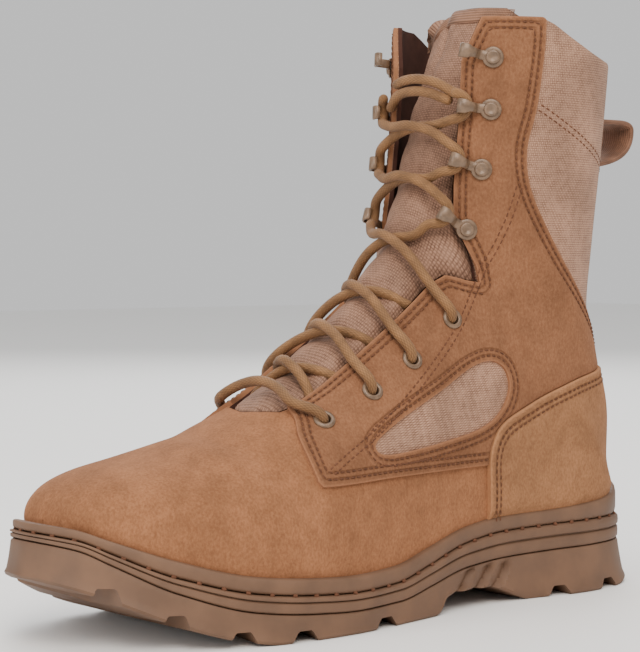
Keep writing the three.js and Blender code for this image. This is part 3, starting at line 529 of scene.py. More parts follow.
COLLAR_OUTLINE = outline_of(
    [(-40, -30), (330, -30), (330, 250)],
    [(110, 250), (72, 250)],
    [(66, 247.5), (56, 242), (42, 236.6), (30, 234.2), (20, 233.8), (-40, 233.8)],
)


def signed_distance(view, outline):
    """Distance in the side view to a closed outline, positive inside it."""
    shape = view.shape[:-1]
    spots = view.reshape(-1, 2)
    best = np.full(len(spots), 1e9)
    inside = np.zeros(len(spots), bool)
    for a, b in zip(outline, np.roll(outline, -1, axis=0)):
        way = b - a
        size = float(way @ way)
        if size < 1e-9:
            continue
        share = np.clip(((spots - a) @ way) / size, 0, 1)
        off = spots - a - share[:, None] * way
        best = np.minimum(best, np.einsum("ij,ij->i", off, off))
        if a[1] != b[1]:
            across = (a[1] > spots[:, 1]) != (b[1] > spots[:, 1])
            inside ^= across & (spots[:, 0] < a[0] + (spots[:, 1] - a[1]) / (b[1] - a[1]) * way[0])
    return (np.sqrt(best) * np.where(inside, 1, -1)).reshape(shape)


# Places as shares of the last's length and the instep's height: eyelets, then hooks' rivets and tips
EYELET_SPOTS = [(0.637, 0.566), (0.552, 0.642), (0.475, 0.726), (0.392, 0.840)]
HOOK_SPOTS = [
    (0.345, 1.142, 0.372, 1.200), (0.325, 1.384, 0.352, 1.418),
    (0.313, 1.625, 0.340, 1.636), (0.310, 1.834, 0.337, 1.858),
]
HOOK_SEAT = QUARTER_TOP + 0.35


def side_spot(at, rise):
    return at * LAST_LENGTH, float(level(rise))


def axes_at(point, normal, towards):
    """Origin and axes on a surface: the first axis towards a point, the third along the normal."""
    across = unit(np.cross(normal, towards - point))
    return point, np.cross(across, normal), across, normal


def hardware_axes():
    def seats(side, spots, lift=0.0):
        return form_at(locate(side, [side_spot(*spot) for spot in spots]), lift)

    eyelets, hooks = {}, {}
    for side in (1, -1):
        points, normals = seats(side, EYELET_SPOTS)
        eyelets[side] = [axes_at(p, n, p + np.array([0, 0, 1.0])) for p, n in zip(points, normals)]
        points, normals = seats(side, [spot[:2] for spot in HOOK_SPOTS], HOOK_SEAT)
        tips, _ = seats(side, [spot[2:] for spot in HOOK_SPOTS])
        hooks[side] = [axes_at(p, n, tip) for p, n, tip in zip(points, normals, tips)]
    return eyelets, hooks


EYELETS, HOOKS = hardware_axes()


def make_fields():
    """Distances on the last's grid, in millimetres, positive inside each region."""
    view = np.stack([FORM["along"], FORM["up"]], -1)
    x = FORM["points"][..., 0]
    fronts = SECTION["front_up"](FORM["sections"])
    rises = np.interp(fronts, [0, INSTEP_HEIGHT, 2 * COLLAR_HEIGHT - INSTEP_HEIGHT], [0, 1, 3])
    gap = np.interp(rises, THROAT["rise"], THROAT["gap"], left=-0.4) * THROAT_GAP
    share = np.abs(np.arange(x.shape[1]) - SIDE_COLUMNS) / SIDE_COLUMNS
    throat = np.abs(x) - gap[:, None]
    throat = np.where(share[None, :] > FRONT_SHARE, FAR, throat)
    holes = np.full(x.shape, FAR)
    for side in (1, -1):
        for point, _, _, normal in EYELETS[side]:
            off = FORM["points"] - point
            depth = off @ normal
            radius = np.sqrt(np.maximum(np.sum(off ** 2, -1) - depth ** 2, 0))
            holes = np.minimum(holes, np.where(np.abs(depth) < 8, radius - EYELET_HOLE - 0.6, FAR))
    return {
        "throat": throat,
        "holes": holes,
        "collar": signed_distance(view, COLLAR_OUTLINE),
        "quarter": signed_distance(view, QUARTER_OUTLINE),
        "counter": signed_distance(view, COUNTER_OUTLINE),
        "window": signed_distance(view, WINDOW_OUTLINE),
        "fabric": signed_distance(view, FABRIC_OUTLINE),
    }


FIELDS = make_fields()


def march(field):
    """Cuts the last's grid where a field is 0: places, faces and the cut's edges."""
    inside = field > 0
    number = -np.ones(field.shape, int)
    number[inside] = np.arange(inside.sum())
    places = [tuple(place) for place in np.argwhere(inside).astype(float)]
    count = (inside[:-1, :-1].astype(int) + inside[1:, :-1] + inside[1:, 1:] + inside[:-1, 1:])
    whole = np.argwhere(count == 4)
    faces = [
        (number[i, j], number[i + 1, j], number[i + 1, j + 1], number[i, j + 1]) for i, j in whole
    ]
    crossings, edges = {}, []

    def crossing(a, b):
        key = (a, b) if a < b else (b, a)
        if key not in crossings:
            share = field[key[0]] / (field[key[0]] - field[key[1]])
            share = min(max(share, 0.02), 0.98)
            crossings[key] = len(places)
            places.append(tuple(np.array(key[0]) + (np.array(key[1]) - np.array(key[0])) * share))
        return crossings[key]

    for i, j in np.argwhere((count > 0) & (count < 4)):
        ring = [(i, j), (i + 1, j), (i + 1, j + 1), (i, j + 1)]
        face, cuts = [], []
        for a, b in zip(ring, ring[1:] + ring[:1]):
            if inside[a]:
                face.append(number[a])
            if inside[a] != inside[b]:
                cut = crossing(a, b)
                face.append(cut)
                cuts.append((cut, inside[a]))
        if len(face) > 2:
            faces.append(tuple(face))
        if not cuts[0][1]:
            cuts = cuts[1:] + cuts[:1]
        edges += [(cuts[k][0], cuts[k + 1][0]) for k in range(0, len(cuts) - 1, 2)]
    return np.array(places), faces, edges


def chains(edges):
    """Runs of connected cut edges, each as a list of point numbers. Closed runs end where they start."""
    ahead = dict(edges)
    starts = set(ahead) - set(ahead.values())
    runs = []
    left = dict(ahead)
    for start in sorted(starts) + sorted(ahead):
        if start not in left:
            continue
        run = [start]
        while run[-1] in left:
            run.append(left.pop(run[-1]))
        runs.append(run)
    return runs


def run_along(path):
    """Length from a path's start to each of its points."""
    return np.concatenate([[0], np.cumsum(np.linalg.norm(np.diff(path, axis=0), axis=1))])


def resample(path, step):
    """Points at equal steps along a path."""
    path = np.asarray(path, float)
    total = run_along(path)
    count = max(2, int(round(total[-1] / step)) + 1)
    return interpolated(np.linspace(0, total[-1], count), total, path)


def soften(path, rounds, closed=False):
    path = np.array(path, float)
    for _ in range(rounds):
        if closed:
            path = 0.5 * path + 0.25 * (np.roll(path, 1, 0) + np.roll(path, -1, 0))
        else:
            path[1:-1] = 0.5 * path[1:-1] + 0.25 * (path[:-2] + path[2:])
    return path


def edge_distance(points, edge_points, limit=14.0):
    """Distance of each point to the nearest of the edge's points, up to a limit."""
    if len(edge_points) == 0:
        return np.full(len(points), limit)
    tree = tree_of(edge_points)
    return np.array([min(tree.find(point)[2], limit) for point in points])


def cloth_ways():
    """For each grid point, its way round the boot and its height, in millimetres, for weaves."""
    points = FORM["points"]
    steps = np.linalg.norm(np.diff(points, axis=1), axis=2)
    middle = steps[:, :SIDE_COLUMNS].sum(1)
    round_way = np.concatenate([np.zeros((len(points), 1)), np.cumsum(steps, axis=1)], axis=1)
    return round_way - middle[:, None]


ROUND_WAY = cloth_ways()


# Meshes
def ring_faces(rings, sides):
    """Faces between closed rings of as many points, one after another."""
    faces = []
    for ring in range(rings - 1):
        for k in range(sides):
            a, b = ring * sides + k, ring * sides + (k + 1) % sides
            faces.append((a, b, b + sides, a + sides))
    return faces


def end_faces(rings, sides):
    last = (rings - 1) * sides
    return [tuple(range(sides))[::-1], tuple(range(last, last + sides))]


def mesh_object(name, points, faces, attributes=None, uv=None, angle=40.0, merge=0.0):
    """Mesh from millimetres, with numbers stored per point and smooth shading up to an angle."""
    mesh = bpy.data.meshes.new(name)
    points = np.asarray(points, float) * MM
    sizes = np.array([len(face) for face in faces], np.int32)
    flat = np.fromiter((corner for face in faces for corner in face), np.int32, int(sizes.sum()))
    mesh.vertices.add(len(points))
    mesh.vertices.foreach_set("co", points.ravel())
    mesh.loops.add(len(flat))
    mesh.loops.foreach_set("vertex_index", flat)
    mesh.polygons.add(len(faces))
    mesh.polygons.foreach_set("loop_start", np.concatenate([[0], np.cumsum(sizes)[:-1]]).astype(np.int32))
    mesh.update(calc_edges=True)
    for label, values in (attributes or {}).items():
        mesh.attributes.new(label, "FLOAT", "POINT").data.foreach_set("value", np.asarray(values, float))
    if uv is not None:
        layer = mesh.uv_layers.new(name="cloth")
        layer.data.foreach_set("uv", np.asarray(uv, float)[flat].ravel())
    mesh.validate()
    mesh.polygons.foreach_set("use_smooth", np.ones(len(mesh.polygons), bool))
    if merge:
        work = bmesh.new()
        work.from_mesh(mesh)
        bmesh.ops.remove_doubles(work, verts=work.verts, dist=merge * MM)
        work.to_mesh(mesh)
        work.free()
    mesh.set_sharp_from_angle(angle=math.radians(angle))
    piece = bpy.data.objects.new(name, mesh)
    bpy.context.scene.collection.objects.link(piece)
    return piece


def finish_piece(piece, material, replaced=()):
    """Gives a piece its material, lets it ride on the boot and hides the solids that it stands for."""
    piece.data.materials.clear()
    piece.data.materials.append(material)
    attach(piece, "root")
    if replaced:
        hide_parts(*replaced)
    return piece


def joined(pieces):
    """Points and faces of several meshes as one."""
    points, faces, start = [], [], 0
    for more, shapes in pieces:
        points.append(np.asarray(more, float))
        faces += [tuple(int(corner) + start for corner in face) for face in shapes]
        start += len(more)
    return np.concatenate(points), faces


# How far outside a region its edge distances reach, and the farthest that they count inside it
EDGE_MARGIN = 2.5
FARTHEST_ROW = 15.0


def field_of(part):
    return FIELDS[part] if isinstance(part, str) else part


def least(*parts):
    return np.minimum.reduce([field_of(part) for part in parts])


def numbers_of(chosen, parts):
    return [number for number, part in enumerate(parts) if any(part is one for one in chosen)]


def own_edges(places, edges, parts, edge_parts):
    """Numbers of the points on a cut, and which of them lie on the edges of edge_parts."""
    on_cut = np.array(sorted({end for edge in edges for end in edge}), int)
    values = np.stack([np.abs(sample(field_of(part), places[on_cut])) for part in parts], 1)
    return on_cut, np.isin(np.argmin(values, axis=1), numbers_of(edge_parts, parts))


def panel(name, parts, lift, skirt, edge_parts, profile=None, inward=False, tucked=False):
    """Sheet over the last where all its parts' fields are positive. lift is its face's height off
    the last and skirt the height that its cut edges reach down to. edge_parts are the fields whose
    edges count as the sheet's own. A tucked sheet thins out at the welt."""
    places, faces, edges = march(least(*parts))
    base, _ = form_at(places)
    on_cut, chosen = own_edges(places, edges, parts, edge_parts)
    edge_mm = edge_distance(base, base[on_cut[chosen]])
    any_edge = edge_distance(base, base[on_cut], 3.0)
    heights = lift - 0.45 * (1 - smoothstep(any_edge, 0.0, 1.3)) if not inward else np.full(len(base), lift)
    if profile is not None:
        heights = heights + profile(edge_mm)
    if tucked:
        above = base[:, 2] - welt_top((HEEL_SPOT - base[:, 1]) / LAST_LENGTH)
        heights = heights * (0.4 + 0.6 * smoothstep(above, -0.5, 4.5))
    top, _ = form_at(places, heights)
    low, _ = form_at(places[on_cut], skirt)
    lower_number = {old: len(top) + k for k, old in enumerate(on_cut)}
    sides = [(a, lower_number[a], lower_number[b], b) for a, b in edges]
    if inward:
        faces = [face[::-1] for face in faces]
        sides = [side[::-1] for side in sides]
    points = np.concatenate([top, low])
    number = np.concatenate([np.arange(len(top)), on_cut])
    uv = np.stack([sample(ROUND_WAY, places), sample(FORM["up"], places)], 1)[number]
    attributes = {"edge_mm": np.concatenate([edge_mm, edge_mm[on_cut]])}
    return mesh_object(name, points, faces + sides, attributes, uv, merge=0.005)


def rows_beside(parts, edge_parts, offsets):
    """Paths on the last at given distances inside the edges of a region, as grid places."""
    field = least(*parts)
    places, _, edges = march(field)
    on_cut, own = own_edges(places, edges, parts, edge_parts)
    tree = tree_of(form_at(places[on_cut[own]])[0])
    distance = np.full(field.shape, -1.0)
    for i, j in np.argwhere(field > -EDGE_MARGIN):
        off = tree.find(FORM["points"][i, j])[2]
        distance[i, j] = min(off, FARTHEST_ROW) * (1 if field[i, j] > 0 else -1)
    found = []
    for offset in offsets:
        cut_places, _, cut_edges = march(distance - offset)
        for run in chains(cut_edges):
            path = cut_places[run]
            inside = np.flatnonzero(sample(field, path) > 0.4 * offset)
            parts_inside = np.split(inside, np.flatnonzero(np.diff(inside) > 1) + 1)
            found += [path[part] for part in parts_inside if len(part) > 6]
    return found


def tube(path, radius, sides=12):
    """Round tube with domed ends along a path, as points, faces and UVs, on frames that don't twist."""
    path = np.asarray(path, float)
    ways = unit(np.gradient(path, axis=0))
    up = np.cross(ways[0], [0.3, 0.2, 0.9])
    rings, frames = [], []
    for way in ways:
        up = unit(up - way * (up @ way))
        frames.append((up, np.cross(way, up)))
    caps = [(0.85, 0.55), (0.5, 0.87), (0.0, 1.0)]
    first = [(path[0] - ways[0] * radius * out, frames[0], radius * size) for out, size in caps]
    last = [(path[-1] + ways[-1] * radius * out, frames[-1], radius * size) for out, size in caps[::-1]]
    course = first + [(p, f, radius) for p, f in zip(path[1:-1], frames[1:-1])] + last
    turns = np.arange(sides) * 2 * math.pi / sides
    for place, (a, b), size in course:
        rings.append(place + size * (np.cos(turns)[:, None] * a + np.sin(turns)[:, None] * b))
    points = np.concatenate(rings)
    faces = ring_faces(len(rings), sides) + end_faces(len(rings), sides)
    middles = np.array([ring.mean(0) for ring in rings])
    run = run_along(middles)
    around = np.tile(turns * radius, len(rings))
    return points, faces, np.stack([np.repeat(run, sides), around], 1)


def stitches(paths, pitch, thread, share=0.72, sink=0.3):
    """Rows of thread stitches along paths, each a short bent capsule. A path is (points, normals)."""
    ring_turns = np.arange(6) * math.pi / 3
    half = [(0.2, 1.0, 0.0), (0.42, 0.85, -0.4), (0.5, 0.25, -0.9)]
    outline = [(-place, size, drop) for place, size, drop in half[::-1]] + half
    faces = ring_faces(len(outline), 6) + end_faces(len(outline), 6)
    pieces = []
    for path, normals in paths:
        both = resample(np.concatenate([path, normals], 1), pitch)
        points, ups = both[:, :3], both[:, 3:]
        for a, b, up in zip(points[:-1], points[1:], ups):
            length = np.linalg.norm(b - a)
            if length < 0.5 * pitch:
                continue
            way = (b - a) / length
            up = unit(up - way * (up @ way))
            over = np.cross(up, way)
            rim = np.cos(ring_turns)[:, None] * over + np.sin(ring_turns)[:, None] * up * 0.8
            rings = []
            for place, size, drop in outline:
                centre = (a + b) / 2 + way * place * length * share + up * (drop * sink)
                rings.append(centre + rim * thread / 2 * size)
            pieces.append((np.concatenate(rings), faces))
    return pieces


def rows_on_last(grid_paths, lift):
    """Grid paths as points and normals on the leather's face."""
    return [form_at(soften(path, 3), lift) for path in grid_paths]


def seam_on_last(side, spots, offsets, lift):
    """Rows beside a line drawn in the side view, as points and normals on the leather's face."""
    line = resample(curve_through(spots), 1.0)
    places = locate(side, line)
    points, normals = form_at(places, lift)
    points = soften(points, 6)
    beside = np.cross(normals, unit(np.gradient(points, axis=0)))
    return [(points + beside * offset, normals) for offset in offsets]


# Materials
def linear(hex_colour):
    """Hex sRGB colour as linear numbers."""
    values = [int(hex_colour[i:i + 2], 16) / 255 for i in (1, 3, 5)]
    return [v / 12.92 if v <= 0.04045 else ((v + 0.055) / 1.055) ** 2.4 for v in values] + [1.0]


def shade(colour, share):
    """A linear colour made darker or lighter."""
    return [min(1.0, part * share) for part in colour[:3]] + [1.0]


def shades(colour, spread, low=0.35, high=0.65):
    """Ramp stops from a darker to a lighter shade of a colour."""
    return [(low, shade(colour, 1 - spread)), (high, shade(colour, 1 + spread))]


def grain(place, size_mm, detail, roughness=0.55):
    """Noise settings for a pattern whose grain is about size_mm across."""
    return {"Vector": place, "Scale": 1 / size_mm, "Detail": detail, "Roughness": roughness}


def connect(node, links):
    """Sets a node's sockets, in order or by name, to values or to other nodes' outputs."""
    for name, value in links.items() if isinstance(links, dict) else enumerate(links):
        socket = node.inputs[name]
        if isinstance(value, bpy.types.Node):
            value = value.outputs[0]
        if isinstance(value, bpy.types.NodeSocket):
            node.id_data.links.new(value, socket)
        else:
            socket.default_value = value


def add(tree, kind, links=(), stops=(), **settings):
    """Adds a node with its settings and links, and a ramp's (place, colour) stops."""
    made = tree.nodes.new("ShaderNode" + kind)
    for name, value in settings.items():
        setattr(made, name, value)
    connect(made, links)
    if stops:
        elements = made.color_ramp.elements
        while len(elements) < len(stops):
            elements.new(0.5)
        for element, (place, colour) in zip(elements, stops):
            element.position = place
            element.color = colour
    return made


def new_material(name, **surface):
    """Material with a main shader whose plain sockets are set, and its node tree."""
    material = bpy.data.materials.new(name)
    material.use_nodes = True
    tree = material.node_tree
    shader = next(item for item in tree.nodes if item.type == "BSDF_PRINCIPLED")
    connect(shader, {socket.replace("_", " "): value for socket, value in surface.items()})
    return material, tree, shader


def in_millimetres(tree):
    place = add(tree, "TexCoord").outputs["Object"]
    return add(tree, "VectorMath", (place, (1 / MM,) * 3), operation="MULTIPLY")


def cloth_place(tree):
    """The cloth's own millimetres: across and along."""
    return add(tree, "SeparateXYZ", (add(tree, "UVMap", uv_map="cloth"),)).outputs[:2]


def weighed_sum(tree, *parts):
    """Sum of two values, each times its weight."""
    products = [add(tree, "Math", part, operation="MULTIPLY") for part in parts]
    return add(tree, "Math", products, operation="ADD")


def wave(tree, value, factor):
    return add(tree, "Math", (add(tree, "Math", (value, factor), operation="MULTIPLY"),), operation="SINE")


def yarn_surface(tree, shader, colour, height, gap, share, strength, depth_mm):
    """Yarns and their relief, with painted shade between them. gap is (place, hex, place): the
    painted shade's colour between the yarns, and where it ends.
    """
    # painted shade: the colour is darker where the yarns' height is low, between them
    yarn = add(tree, "ValToRGB", (height,), [(gap[0], linear(gap[1])), (gap[2], linear("#ffffff"))])
    mixed = add(tree, "Mix", {0: share, 6: colour, 7: yarn}, data_type="RGBA", blend_type="MULTIPLY")
    connect(shader, {
        "Base Color": mixed.outputs[2],
        "Normal": add(tree, "Bump", {"Height": height, "Strength": strength, "Distance": depth_mm * MM}),
    })


def edge_rows(tree, rows):
    """Dips along stitch rows at distances from the panel's edge: 1 in a row, 0 away from them."""
    edge = add(tree, "Attribute", attribute_name="edge_mm").outputs["Fac"]
    total = None
    for row in rows:
        off = add(tree, "Math", (edge, row), operation="SUBTRACT")
        away = add(tree, "Math", (off,), operation="ABSOLUTE")
        dip = add(tree, "MapRange", (away, 0.0, 0.85, 1.0, 0.0))
        total = dip if total is None else add(tree, "Math", (total, dip), operation="MAXIMUM")
    return edge, total


def suede_material(name, colour, rows):
    """Split leather, brushed: a matt nap in mottled tones, lighter where it is brushed up, with
    painted shade in the grooves along its stitch rows and a rough pale cut edge."""
    material, tree, shader = new_material(
        name, Roughness=0.95, IOR=1.45, Specular_IOR_Level=0.15, Sheen_Weight=0.15, Sheen_Roughness=0.5,
        Sheen_Tint=linear("#c8987a"))
    place = in_millimetres(tree)
    brushed = add(tree, "VectorMath", (place, (1.0, 1.0, 0.7)), operation="MULTIPLY")
    cloud = add(tree, "TexNoise", grain(place, 45, 2))
    patch = add(tree, "TexNoise", grain(place, 7, 3))
    nap = add(tree, "TexNoise", grain(brushed, 1.0, 2, 0.65))
    hair = add(tree, "TexNoise", grain(brushed, 0.5, 1))
    tone = weighed_sum(tree, (cloud, 0.6), (patch, 0.4))
    pale = shade(colour, 1.17)
    stops = [(0.38, shade(colour, 0.83)), (0.5, shade(colour, 1)), (0.62, pale)]
    tones = add(tree, "ValToRGB", (tone,), stops)
    speckle = add(tree, "ValToRGB", (nap,), [(0.32, linear("#b4a49a")), (0.68, linear("#ffffff"))])
    face = add(tree, "Mix", {0: 0.5, 6: tones, 7: speckle}, data_type="RGBA", blend_type="MULTIPLY")
    fibres = weighed_sum(tree, (nap, 0.6), (hair, 0.5))
    fuzz = add(tree, "Bump", {"Height": fibres, "Strength": 0.45, "Distance": 0.35 * MM})
    relief = add(tree, "Bump", {"Height": patch, "Strength": 0.2, "Distance": 1.0 * MM, "Normal": fuzz})
    if rows:
        edge, dips = edge_rows(tree, rows)
        # painted shade: the colour darkens towards #54341f in the grooves along the stitch rows
        groove_shade = add(tree, "Math", (dips, 0.3), operation="MULTIPLY")
        sewn = add(tree, "Mix", {0: groove_shade, 6: face.outputs[2], 7: linear("#54341f")}, data_type="RGBA")
        rim = add(tree, "MapRange", (edge, 0.1, 0.9, 0.55, 0.0))
        face = add(tree, "Mix", {0: rim, 6: sewn.outputs[2], 7: shade(pale, 1.25)}, data_type="RGBA")
        sunk = add(tree, "Math", (dips, -1.0), operation="MULTIPLY")
        relief = add(tree, "Bump", {"Height": sunk, "Strength": 0.9, "Distance": 0.6 * MM, "Normal": relief})
    connect(shader, {"Base Color": face.outputs[2], "Normal": relief})
    return material


def woven_material(name, colour, pitch_mm):
    """Plain-woven nylon of thick yarn: rows of small raised crowns, with a faint sheen on each and
    painted shade between them, varied in strength by noise. The real yarns are 0.5 mm apart, and
    are drawn coarser so that they show."""
    material, tree, shader = new_material(
        name, Roughness=0.8, IOR=1.53, Specular_IOR_Level=0.35, Sheen_Weight=0.12, Sheen_Roughness=0.4,
        Sheen_Tint=linear("#e6cdbd"))
    shift = 500.0
    across, along = (
        add(tree, "Math", (add(tree, "Math", (part, shift), operation="ADD"), pitch_mm), operation="DIVIDE")
        for part in cloth_place(tree))
    ways = (across, along)
    warp, weft = (wave(tree, add(tree, "Math", (way,), operation="FRACT"), math.pi) for way in ways)
    steps = [add(tree, "Math", (way,), operation="FLOOR") for way in ways]
    odd = add(tree, "Math", (add(tree, "Math", steps, operation="ADD"), 2.0), operation="MODULO")
    crown = add(tree, "Math", (warp, weft), operation="MULTIPLY")
    raised = add(tree, "Math", (0.55, add(tree, "Math", (odd, 0.45), operation="MULTIPLY")), operation="ADD")
    height = add(tree, "Math", (crown, raised), operation="MULTIPLY")
    place = in_millimetres(tree)
    tones = add(tree, "ValToRGB", (add(tree, "TexNoise", grain(place, 24, 2)),), shades(colour, 0.16))
    # noise that varies how strongly the painted shade between the yarns darkens the colour
    gap_shade_noise = add(tree, "TexNoise", grain(place, 3.0, 2))
    uneven = add(tree, "MapRange", (gap_shade_noise, 0.35, 0.65, 0.45, 0.85))
    # painted shade between the yarns, #7d675b
    yarn_surface(tree, shader, tones, height, (0.02, "#7d675b", 0.6), uneven, 0.75, 0.28)
    return material


def rubber_material(name, colour):
    """Moulded rubber: an even dull face, with a fine matt grain from the mould and faint scuffs."""
    material, tree, shader = new_material(name, Roughness=0.62, IOR=1.52, Specular_IOR_Level=0.35)
    place = in_millimetres(tree)
    cloud = add(tree, "TexNoise", grain(place, 18, 3))
    mould = add(tree, "TexNoise", grain(place, 0.8, 2))
    connect(shader, {
        "Base Color": add(tree, "ValToRGB", (cloud,), shades(colour, 0.16)),
        "Roughness": add(tree, "MapRange", (cloud, 0.3, 0.7, 0.56, 0.72)),
        "Normal": add(tree, "Bump", {"Height": mould, "Strength": 0.18, "Distance": 0.12 * MM}),
    })
    return material


def painted_metal_material(name, colour):
    """Painted brass hooks and eyelets: an even tan-grey paint with a soft satin shine, its tone
    and roughness varied a little at random."""
    material, tree, shader = new_material(name, Roughness=0.42, Metallic=0.25, Coat_Weight=0.1)
    cloud = add(tree, "TexNoise", grain(in_millimetres(tree), 3.0, 3))
    connect(shader, {
        "Base Color": add(tree, "ValToRGB", (cloud,), shades(colour, 0.28, 0.35, 0.7)),
        "Roughness": add(tree, "MapRange", (cloud, 0.3, 0.7, 0.32, 0.5)),
    })
    return material


def cord_material(name, colour):
    """Braided round polyester lace: two sets of yarns that cross at a steep angle, golden tan,
    with a dull silky sheen and painted shade in the hollows between the yarns. UVs are
    millimetres along and round the cord."""
    material, tree, shader = new_material(
        name, Roughness=0.75, IOR=1.53, Specular_IOR_Level=0.3, Sheen_Weight=0.05)
    ways = [
        add(tree, "Math", (part, share), operation="MULTIPLY")
        for part, share in zip(cloth_place(tree), (0.4, 0.87))
    ]
    one, two = (wave(tree, add(tree, "Math", ways, operation=kind), math.pi) for kind in ("ADD", "SUBTRACT"))
    crossed = add(tree, "Math", (one, two), operation="MULTIPLY")
    height = add(tree, "Math", (crossed,), operation="ABSOLUTE")
    cloud = add(tree, "TexNoise", grain(in_millimetres(tree), 9, 2))
    tones = add(tree, "ValToRGB", (cloud,), shades(colour, 0.2))
    # painted shade in the hollows between the yarns, #7c6654
    yarn_surface(tree, shader, tones, height, (0.0, "#7c6654", 0.5), 0.55, 0.45, 0.3)
    return material


def webbing_material(name, colour):
    """Woven nylon webbing: lengthwise ribs 1.3 mm apart with finer yarns across, and a dull colour
    with painted shade between the ribs.
    """
    material, tree, shader = new_material(
        name, Roughness=0.8, IOR=1.53, Specular_IOR_Level=0.3, Sheen_Weight=0.1)
    rib, pick = (
        add(tree, "Math", (wave(tree, part, math.pi / pitch_mm),), operation="ABSOLUTE")
        for part, pitch_mm in zip(cloth_place(tree), (1.3, 0.9)))
    raised = add(tree, "Math", (add(tree, "Math", (pick, 0.4), operation="MULTIPLY"), 0.6), operation="ADD")
    height = add(tree, "Math", (rib, raised), operation="MULTIPLY")
    cloud = add(tree, "TexNoise", grain(in_millimetres(tree), 8, 2))
    tones = add(tree, "ValToRGB", (cloud,), shades(colour, 0.2))
    # painted shade between the ribs, #8c7c72
    yarn_surface(tree, shader, tones, height, (0.05, "#8c7c72", 0.8), 0.65, 0.6, 0.3)
    return material


def thread_material(name, colour):
    """Bonded polyester thread: dark brown, dull, a little uneven along its length."""
    material, tree, shader = new_material(name, Roughness=0.8, IOR=1.53, Specular_IOR_Level=0.2)
    twist = add(tree, "TexNoise", grain(in_millimetres(tree), 1.6, 2))
    connect(shader, {"Base Color": add(tree, "ValToRGB", (twist,), shades(colour, 0.3, 0.3, 0.7))})
    return material


def lining_material(name, colour):
    """Brushed tricot lining: a soft reddish brown without shine."""
    material, tree, shader = new_material(name, Roughness=0.95, IOR=1.5, Specular_IOR_Level=0.2)
    place = in_millimetres(tree)
    cloud = add(tree, "TexNoise", grain(place, 12, 3))
    pile = add(tree, "TexNoise", grain(place, 0.9, 2))
    connect(shader, {
        "Base Color": add(tree, "ValToRGB", (cloud,), shades(colour, 0.2)),
        "Normal": add(tree, "Bump", {"Height": pile, "Strength": 0.3, "Distance": 0.3 * MM}),
    })
    return material


def colour_of(name):
    return list(getattr(bpy.context.scene.boot_colours, name))


def size_of(name):
    """A size from the panel, in millimetres."""
    return getattr(bpy.context.scene.boot_sizes, name) / MM


def material_of(name, make, *details):
    """The material of a name, made when it is first asked for."""
    return bpy.data.materials.get(name) or make(name, *details)


def suede(piece, rows):
    return material_of("brushed_suede_" + piece, suede_material, colour_of(piece), rows)


def woven(name, piece):
    return material_of(name, woven_material, colour_of(piece), size_of("weave_pitch"))


PLAIN_MATERIALS = {
    "rubber": ("moulded_rubber", rubber_material),
    "paint": ("satin_painted_brass", painted_metal_material),
    "lace": ("braided_polyester_lace", cord_material),
    "thread": ("bonded_polyester_thread", thread_material),
    "lining": ("brushed_tricot_lining", lining_material),
    "webbing": ("woven_nylon_webbing", webbing_material),
}


def plain(kind):
    return material_of(*PLAIN_MATERIALS[kind], colour_of(kind))


# Upper
def rolled_edge(edge_mm):
    """Raised ridge along a turned edge, with a groove behind it."""
    ridge = 0.55 * np.exp(-((edge_mm - 1.1) / 0.9) ** 2)
    groove = -0.30 * np.exp(-((edge_mm - 2.6) / 0.7) ** 2)
    return ridge + groove


OVERLAY_GAP = 0.45
QUARTER_ROWS = (2.4, 5.0)
WINDOW_ROWS = (2.2, 4.6)
COUNTER_ROWS = (3.6, 6.0)
EYESTAY_SEAM = [(194, 62.5), (157, 81.6), (116.5, 112.7), (99.6, 133.5), (86, 160), (80.5, 178)]
CUFF_SEAM = [(72.6, 211.8), (55, 202.5), (25.7, 189.4), (6, 182)]
OUTSIDE_WINDOW = -FIELDS["window"]
OUTSIDE_COUNTER = -FIELDS["counter"] - OVERLAY_GAP


def pressed_rows(edge_mm):
    """Leather pulled down along its stitch rows and puffed up between them."""
    return -0.22 * sum(np.exp(-((edge_mm - row) / 0.7) ** 2) for row in QUARTER_ROWS)


def build_upper():
    openings = ["throat", "holes", "collar"]
    vamp = panel("vamp", openings + [-FIELDS["fabric"]], 0.0, -WALL, ["throat"])
    finish_piece(vamp, suede("vamp", ()), ["upper"])
    fabric = panel("shaft_fabric", openings + ["fabric"], 0.35, -WALL, ["collar"])
    finish_piece(fabric, woven("woven_nylon", "nylon"), ["upper"])
    quarters = panel(
        "quarters", ["quarter", *openings, OUTSIDE_WINDOW, OUTSIDE_COUNTER], QUARTER_TOP, -0.6,
        ["quarter", "throat", "collar", OUTSIDE_WINDOW], pressed_rows)
    finish_piece(quarters, suede("quarters", QUARTER_ROWS), ["quarter_lateral", "quarter_medial"])
    counter = panel("counter", ["counter"], COUNTER_TOP, -0.3, ["counter"], rolled_edge, tucked=True)
    finish_piece(counter, suede("counter", COUNTER_ROWS), ["heel_counter"])
    inner = [FIELDS["throat"] + 0.5, "holes", "collar"]
    liner = panel("upper_lining", inner, -WALL, -0.4, inner, inward=True)
    finish_piece(liner, plain("lining"), ["upper"])


def build_upper_stitches():
    own = ["quarter", "throat", "collar"]
    parts = own + [OUTSIDE_WINDOW, OUTSIDE_COUNTER]
    rows = rows_beside(parts, own, QUARTER_ROWS) + rows_beside(parts, [OUTSIDE_WINDOW], WINDOW_ROWS)
    paths = rows_on_last(rows, QUARTER_TOP + 0.08)
    paths += rows_on_last(rows_beside(["counter"], ["counter"], COUNTER_ROWS), COUNTER_TOP + 0.12)
    for side in (1, -1):
        for spots, lift in ((EYESTAY_SEAM, QUARTER_TOP + 0.08), (CUFF_SEAM, 0.45)):
            paths += seam_on_last(side, spots, (-1.3, 1.3), lift)
    points, faces = joined(stitches(paths, size_of("stitch_pitch"), size_of("thread_width")))
    finish_piece(mesh_object("upper_stitches", points, faces, angle=60), plain("thread"))


# Sole
SOLE_STEP = 1.15
SOLE_GAP = 0.3
TOE_FLARE = 2.5
HEEL_FLARE = 3.5
HEEL_FLARE_END = 0.28
WELT_SETBACK = 1.0


